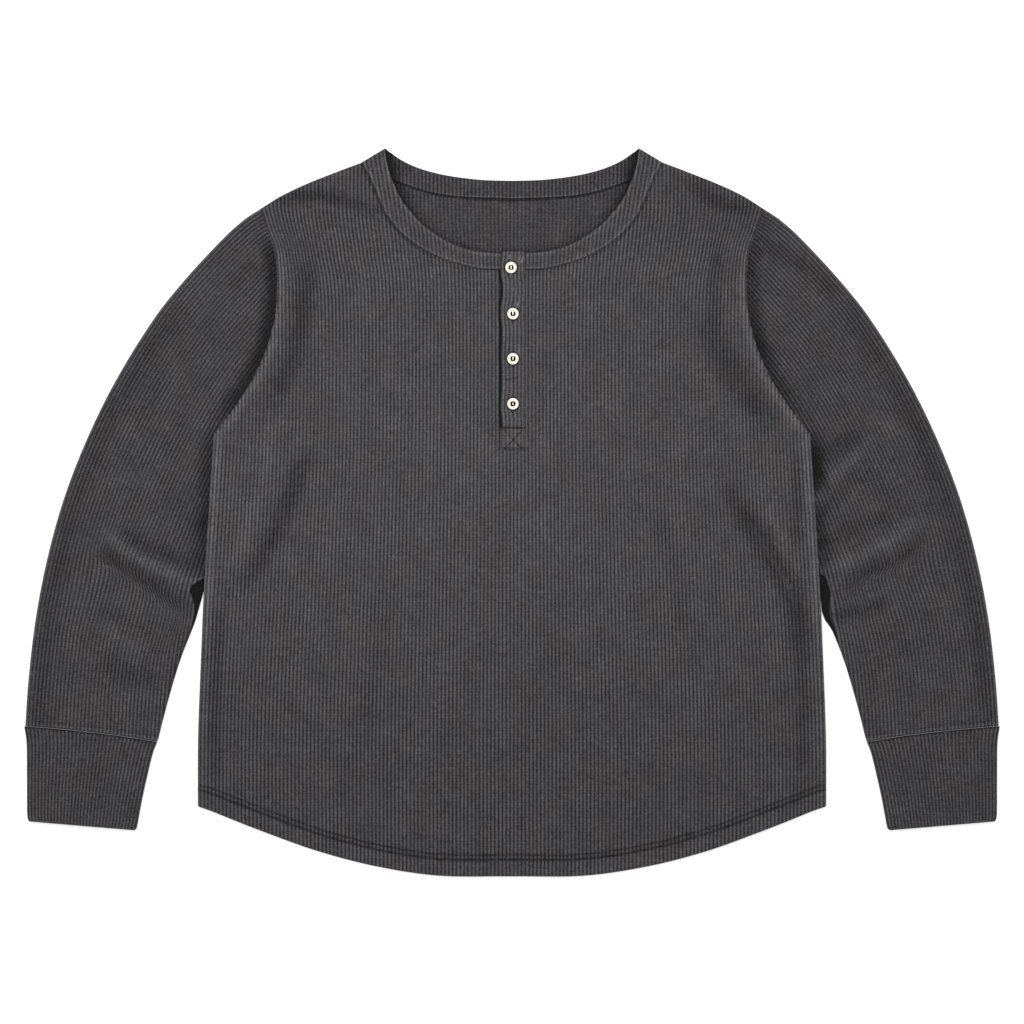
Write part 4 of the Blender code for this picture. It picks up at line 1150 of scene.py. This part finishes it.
def placketSurface(u, v):
    y = placket["bottom"] + (placket["top"] - placket["bottom"]) * v
    left = placketLeft(y)
    x = left + (placket["right"] - left) * u
    pull = np.zeros_like(x)
    dimple = np.zeros_like(x)
    for spotX, spotY in buttons:
        away = np.hypot(x - spotX, y - spotY)
        side = np.sign(x - spotX)
        pull = pull + side * 1.2 * line(y - spotY, 8.0) * line(x - spotX - 3.0 * side, 5.0)
        dimple = dimple + 0.5 * line(away, 6.5)
    phase = (x - pull - 0.6 * (left - placket["left"])) / body["pitch"] + 0.12
    low = y - placket["bottom"]
    box = (low < 20.5) * 1.0
    edge = np.minimum(x - left, placket["top"] - y)
    cross = line((y - 67.8) - (x - 1.2) * 1.06, 0.8) + line((y - 67.8) + (x - 1.2) * 1.06, 0.8)
    cross = cross * box * (low > 1.0) * (low < 18.0) * (np.abs(x - 1.2) < 8.4)
    frameLine = (
        line(y - 78.9, 0.8) * 1.2 + line(low - 0.9, 0.7) * 0.8 + line(x - 11.2, 0.6) * 0.5 * box
    )
    frameLine = frameLine + box * line(x + 7.6, 0.6) * 0.6
    crease = line((y - 125.6) - 0.19 * (x - 1.2), 0.8) * (np.abs(x + 1.0) < 7.5)
    rib = placket["ribHeight"] * ribWave(phase)
    z = (
        5.1 + rib + 0.5 * clamp(edge / 4.0) - dimple - 0.45 * np.minimum(cross + frameLine, 1.2)
        - 0.35 * crease
    )
    z = z - 0.6 * (1.0 - ease((placket["right"] - x) / 4.0)) - 0.8 * (1.0 - clamp(low / 1.5))
    corner = np.hypot(x - 11.5, y - 241.5)
    z = z - 0.8 * line(corner, 2.6)
    # lighter all over and inside the box; stitched lines and crease darker, partly their dark
    # thread, partly painted shade in their grooves; painted highlights along both edges
    wearAndPaintedLight = (
        0.28 + 0.20 * box - 1.0 * np.minimum(cross + frameLine, 1.1) - 0.55 * crease
        + 0.12 * line(x - left - 1.0, 0.9)
    )
    wearAndPaintedLight = wearAndPaintedLight + 0.22 * line(placket["right"] - x - 0.6, 1.3)
    # painted shadow ring round each button, painted shade in the corner and the dimples, painted
    # highlights along the creases
    buttonShadowRings = sum(line(np.hypot(x - spot[0], y - spot[1]) - 5.8, 0.65) for spot in buttons)
    shine = strokes(x, y, placketCreases)
    wearAndPaintedLight = wearAndPaintedLight - 0.6 * line(corner, 2.0) - 0.10 * dimple - 1.3 * buttonShadowRings + 1.3 * shine
    return x, y, z + 0.4 * shine, phase, y, wearAndPaintedLight


def underPlacketSurface(u, v):
    x = -9.2 + 19.4 * u
    y = 67.0 + 175.0 * v
    phase = x / body["pitch"]
    z = 3.2 + 0.3 * ribWave(phase) - 1.2 * (1.0 - clamp((x + 9.2) / 1.2))
    # darker all over: painted shade under the top placket
    return x, y, z, phase, y, -0.5


def makePlacket():
    bm = bmesh.new()
    placedGrid(bm, placket["columns"], placket["rows"], placketSurface)
    turnEdge(bm, rimOf(bm), ((0.2, 0.3), (0.25, 0.9), (-0.2, 1.4), (-3.0, 1.5)))
    top = finished("placketTop", bm, trimKnit, ["placket_top"])
    bm = bmesh.new()
    placedGrid(bm, 22, 100, underPlacketSurface)
    turnEdge(bm, rimOf(bm), ((0.15, 0.5), (0.0, 1.2)))
    under = finished("placketUnder", bm, trimKnit, ["placket_under"])
    return top, under


# Buttons and their thread.

buttonShape = {
    "lift": 5.9,
    "holeRadius": 0.8,
    "holeOffset": 1.5,
    "profile": (
        (0, 0), (4.5, 0), (5.05, 0.2), (5.4, 0.7), (5.45, 1.15), (5.3, 1.7), (5, 2), (4.6, 2.08),
        (4.2, 1.9), (3.95, 1.25), (3.6, 1.2), (3.35, 1.7), (3, 1.8), (0, 1.8),
    ),
    "steps": 48,
}


def makeButton(number, spot):
    bm = bmesh.new()
    rim = [bm.verts.new((radius, 0.0, height)) for radius, height in buttonShape["profile"]]
    edges = [bm.edges.new(pair) for pair in zip(rim, rim[1:])]
    bmesh.ops.spin(
        bm, geom=rim + edges, cent=(0, 0, 0), axis=(0, 0, 1), angle=2.0 * pi,
        steps=buttonShape["steps"], use_merge=True,
    )
    bmesh.ops.remove_doubles(bm, verts=bm.verts, dist=0.002)
    bmesh.ops.recalc_face_normals(bm, faces=bm.faces)
    bmesh.ops.translate(bm, verts=bm.verts, vec=(spot[0], spot[1], buttonShape["lift"]))
    drill = bmesh.new()
    for side in (-1.0, 1.0):
        hole = bmesh.ops.create_cone(
            drill, cap_ends=True, segments=20, radius1=buttonShape["holeRadius"],
            radius2=buttonShape["holeRadius"], depth=8.0,
        )["verts"]
        bmesh.ops.scale(drill, verts=hole, vec=(1.22, 2.8, 1.0))
        where = (spot[0] + side * buttonShape["holeOffset"], spot[1], buttonShape["lift"] + 1.0)
        bmesh.ops.translate(drill, verts=hole, vec=where)
    name = "button" + str(number)
    piece = finished(name, bm, resin, ["button_" + str(number)], merge=0.0)
    bmesh.ops.scale(drill, verts=drill.verts, vec=(0.001, 0.001, 0.001))
    mesh = bpy.data.meshes.new(name + "Drill")
    drill.to_mesh(mesh)
    drill.free()
    tool = linked(name + "Drill", mesh)
    cut = piece.modifiers.new("holes", "BOOLEAN")
    cut.solver = "EXACT"
    cut.object = tool
    bpy.context.view_layer.update()
    done = bpy.data.meshes.new_from_object(
        piece.evaluated_get(bpy.context.evaluated_depsgraph_get()),
    )
    piece.modifiers.clear()
    piece.data = done
    bpy.data.objects.remove(tool)
    for polygon in done.polygons:
        polygon.use_smooth = True
    done.set_sharp_from_angle(angle=radians(38))


def addStrand(bm, start, end, radius):  # one stitch: a rounded strand between two points
    a, b = Vector(start), Vector(end)
    run = b - a
    turn = run.to_track_quat("Z", "Y").to_matrix().to_4x4()
    size = Matrix.Diagonal((radius, radius, run.length / 2.0 + radius * 0.5, 1.0))
    middle = (a + b) / 2.0
    bmesh.ops.create_icosphere(
        bm, subdivisions=1, radius=1.0, matrix=Matrix.Translation(middle) @ turn @ size,
    )


# where the strands cross each button
crossings = ((-1.9, 1.95), (-1.95, -1.4), (-1.95, -1.3, 2), (-1.9, -1.3, 1.4, 1.95))


def makeButtonThread():
    bm = bmesh.new()
    for (x, y), across in zip(buttons, crossings):
        deck = buttonShape["lift"] + 1.72
        left, right = x - buttonShape["holeOffset"], x + buttonShape["holeOffset"]
        for shift in across:
            addStrand(bm, (left, y + shift, deck), (right, y + shift, deck), 0.5)
        for hole in (left, right):
            addStrand(bm, (hole, y - 1.5, deck - 0.3), (hole, y + 1.4, deck - 1.0), 0.5)
            addStrand(bm, (hole, y, deck - 0.9), (hole, y, 4.9), 0.6)
    return finished("buttonThread", bm, thread, merge=0.0)


# Seams sewn with thread.

sewing = {"hemStep": 3.3, "hemRadius": 0.26, "placketStep": 2.6, "placketRadius": 0.24}


def makeHemStitches():
    bm = bmesh.new()
    half = curve(body["hem"], 12)
    whole = np.vstack([half[::-1] * (-1.0, 1.0), half[1:]])
    run = lengths(whole)
    heading = np.arctan2(*np.gradient(whole, axis=0).T[::-1])
    for depth, shift in zip(stitchRows, (0.0, 1.6)):
        for spot in np.arange(4.0 + shift, run[-1] - 4.0, sewing["hemStep"]):
            ends = []
            for place in (spot, spot + 0.68 * sewing["hemStep"]):
                angle = np.interp(place, run, heading)
                x = np.interp(place, run, whole[:, 0]) - depth * np.sin(angle)
                y = np.interp(place, run, whole[:, 1]) + depth * np.cos(angle)
                ends.append((x, y))
            (ax, ay), (bx, by) = ends
            middleX, middleY = np.array([(ax + bx) / 2.0]), np.array([(ay + by) / 2.0])
            rib = middleX / spread(middleY)
            level = float(frontSurface(rib, middleY)[2][0])
            addStrand(bm, (ax, ay, level), (bx, by, level), sewing["hemRadius"])
    return finished("hemStitches", bm, thread, merge=0.0)


def makePlacketStitches():
    bm = bmesh.new()
    lines = (
        ((-6.9, 59.6), (9.4, 76.6)),
        ((-6.9, 76.6), (9.4, 59.6)),
        ((-8.2, 78.9), (10.9, 78.9)),
        ((-8.2, 59.7), (10.9, 59.7)),
        ((10.9, 59.7), (10.9, 238.0)),
        ((-7.6, 59.7), (-7.6, 78.9)),
    )
    for start, end in lines:
        a, b = np.array(start), np.array(end)
        length = np.hypot(*(b - a))
        count = int(length / sewing["placketStep"])
        for index in range(count):
            first = a + (b - a) * index / count
            last = a + (b - a) * (index + 0.72) / count
            middle = (first + last) / 2.0
            u = np.array([(middle[0] - placket["left"]) / (placket["right"] - placket["left"])])
            v = np.array([(middle[1] - placket["bottom"]) / (placket["top"] - placket["bottom"])])
            level = float(placketSurface(u, v)[2][0]) + 0.05
            addStrand(bm, (*first, level), (*last, level), sewing["placketRadius"])
    return finished("placketStitches", bm, thread, merge=0.0)


# Build.

backPanel = makeBack()
frontPanel = makeFront()
sleeveLeft = makeSleeve("left", 1.0)
sleeveRight = makeSleeve("right", -1.0)
cuffLeft = makeCuff("left", 1.0)
cuffRight = makeCuff("right", -1.0)
neckBand = makeNeckband()
placketTop, placketUnder = makePlacket()
for number, spot in enumerate(buttons, start=1):
    makeButton(number, spot)
makeButtonThread()
makeHemStitches()
makePlacketStitches()
print("pieces made")

studio = {
    "floor": "#f4f4f3",
    "world": 0.55,
    "key": 24,
    "keyPlace": (-0.5, 0.9, 1.9),
    "keySize": 1.3,
    "fill": 8,
    "fillPlace": (0.8, -0.4, 2.2),
    "fillSize": 1.6,
    "lens": 85,
    "sensor": 36,
    "pictureWidth": 0.96256,  # what the picture takes in, at this height
    "pictureHeight": 0.003,
}


def makeStudio():
    bm = bmesh.new()
    bmesh.ops.create_grid(bm, x_segments=1, y_segments=1, size=4.0)
    mesh = bpy.data.meshes.new("floor")
    bm.to_mesh(mesh)
    bm.free()
    finish, tree, shader = newFinish("paperSweep")  # matt white paper
    shader.inputs["Base Color"].default_value = hexColour(studio["floor"])
    shader.inputs["Roughness"].default_value = 0.9
    shader.inputs["Emission Color"].default_value = (1.0, 1.0, 1.0, 1.0)
    shader.inputs["Emission Strength"].default_value = 0.35
    mesh.materials.append(finish)
    floor = linked("floor", mesh)
    for name, power, place, size in (
        ("keyLight", studio["key"], studio["keyPlace"], studio["keySize"]),
        ("fillLight", studio["fill"], studio["fillPlace"], studio["fillSize"]),
    ):
        light = bpy.data.lights.new(name, "AREA")
        light.energy = power
        light.size = size
        lamp = linked(name, light)
        lamp.location = place
        lamp.rotation_euler = (-Vector(place)).to_track_quat("-Z", "Y").to_euler()
    world = bpy.data.worlds.new("studio")
    world.use_nodes = True
    sky = world.node_tree.nodes["Background"].inputs
    sky["Color"].default_value = (1.0, 1.0, 1.0, 1.0)
    sky["Strength"].default_value = studio["world"]
    bpy.context.scene.world = world
    bpy.context.scene.view_settings.view_transform = "Standard"
    lens = bpy.data.cameras.new("camera")
    lens.lens = studio["lens"]
    lens.sensor_width = studio["sensor"]
    camera = linked("camera", lens)
    distance = studio["pictureWidth"] * studio["lens"] / studio["sensor"]
    camera.location = (0.0, 0.0, distance + studio["pictureHeight"])
    bpy.context.scene.camera = camera


makeStudio()
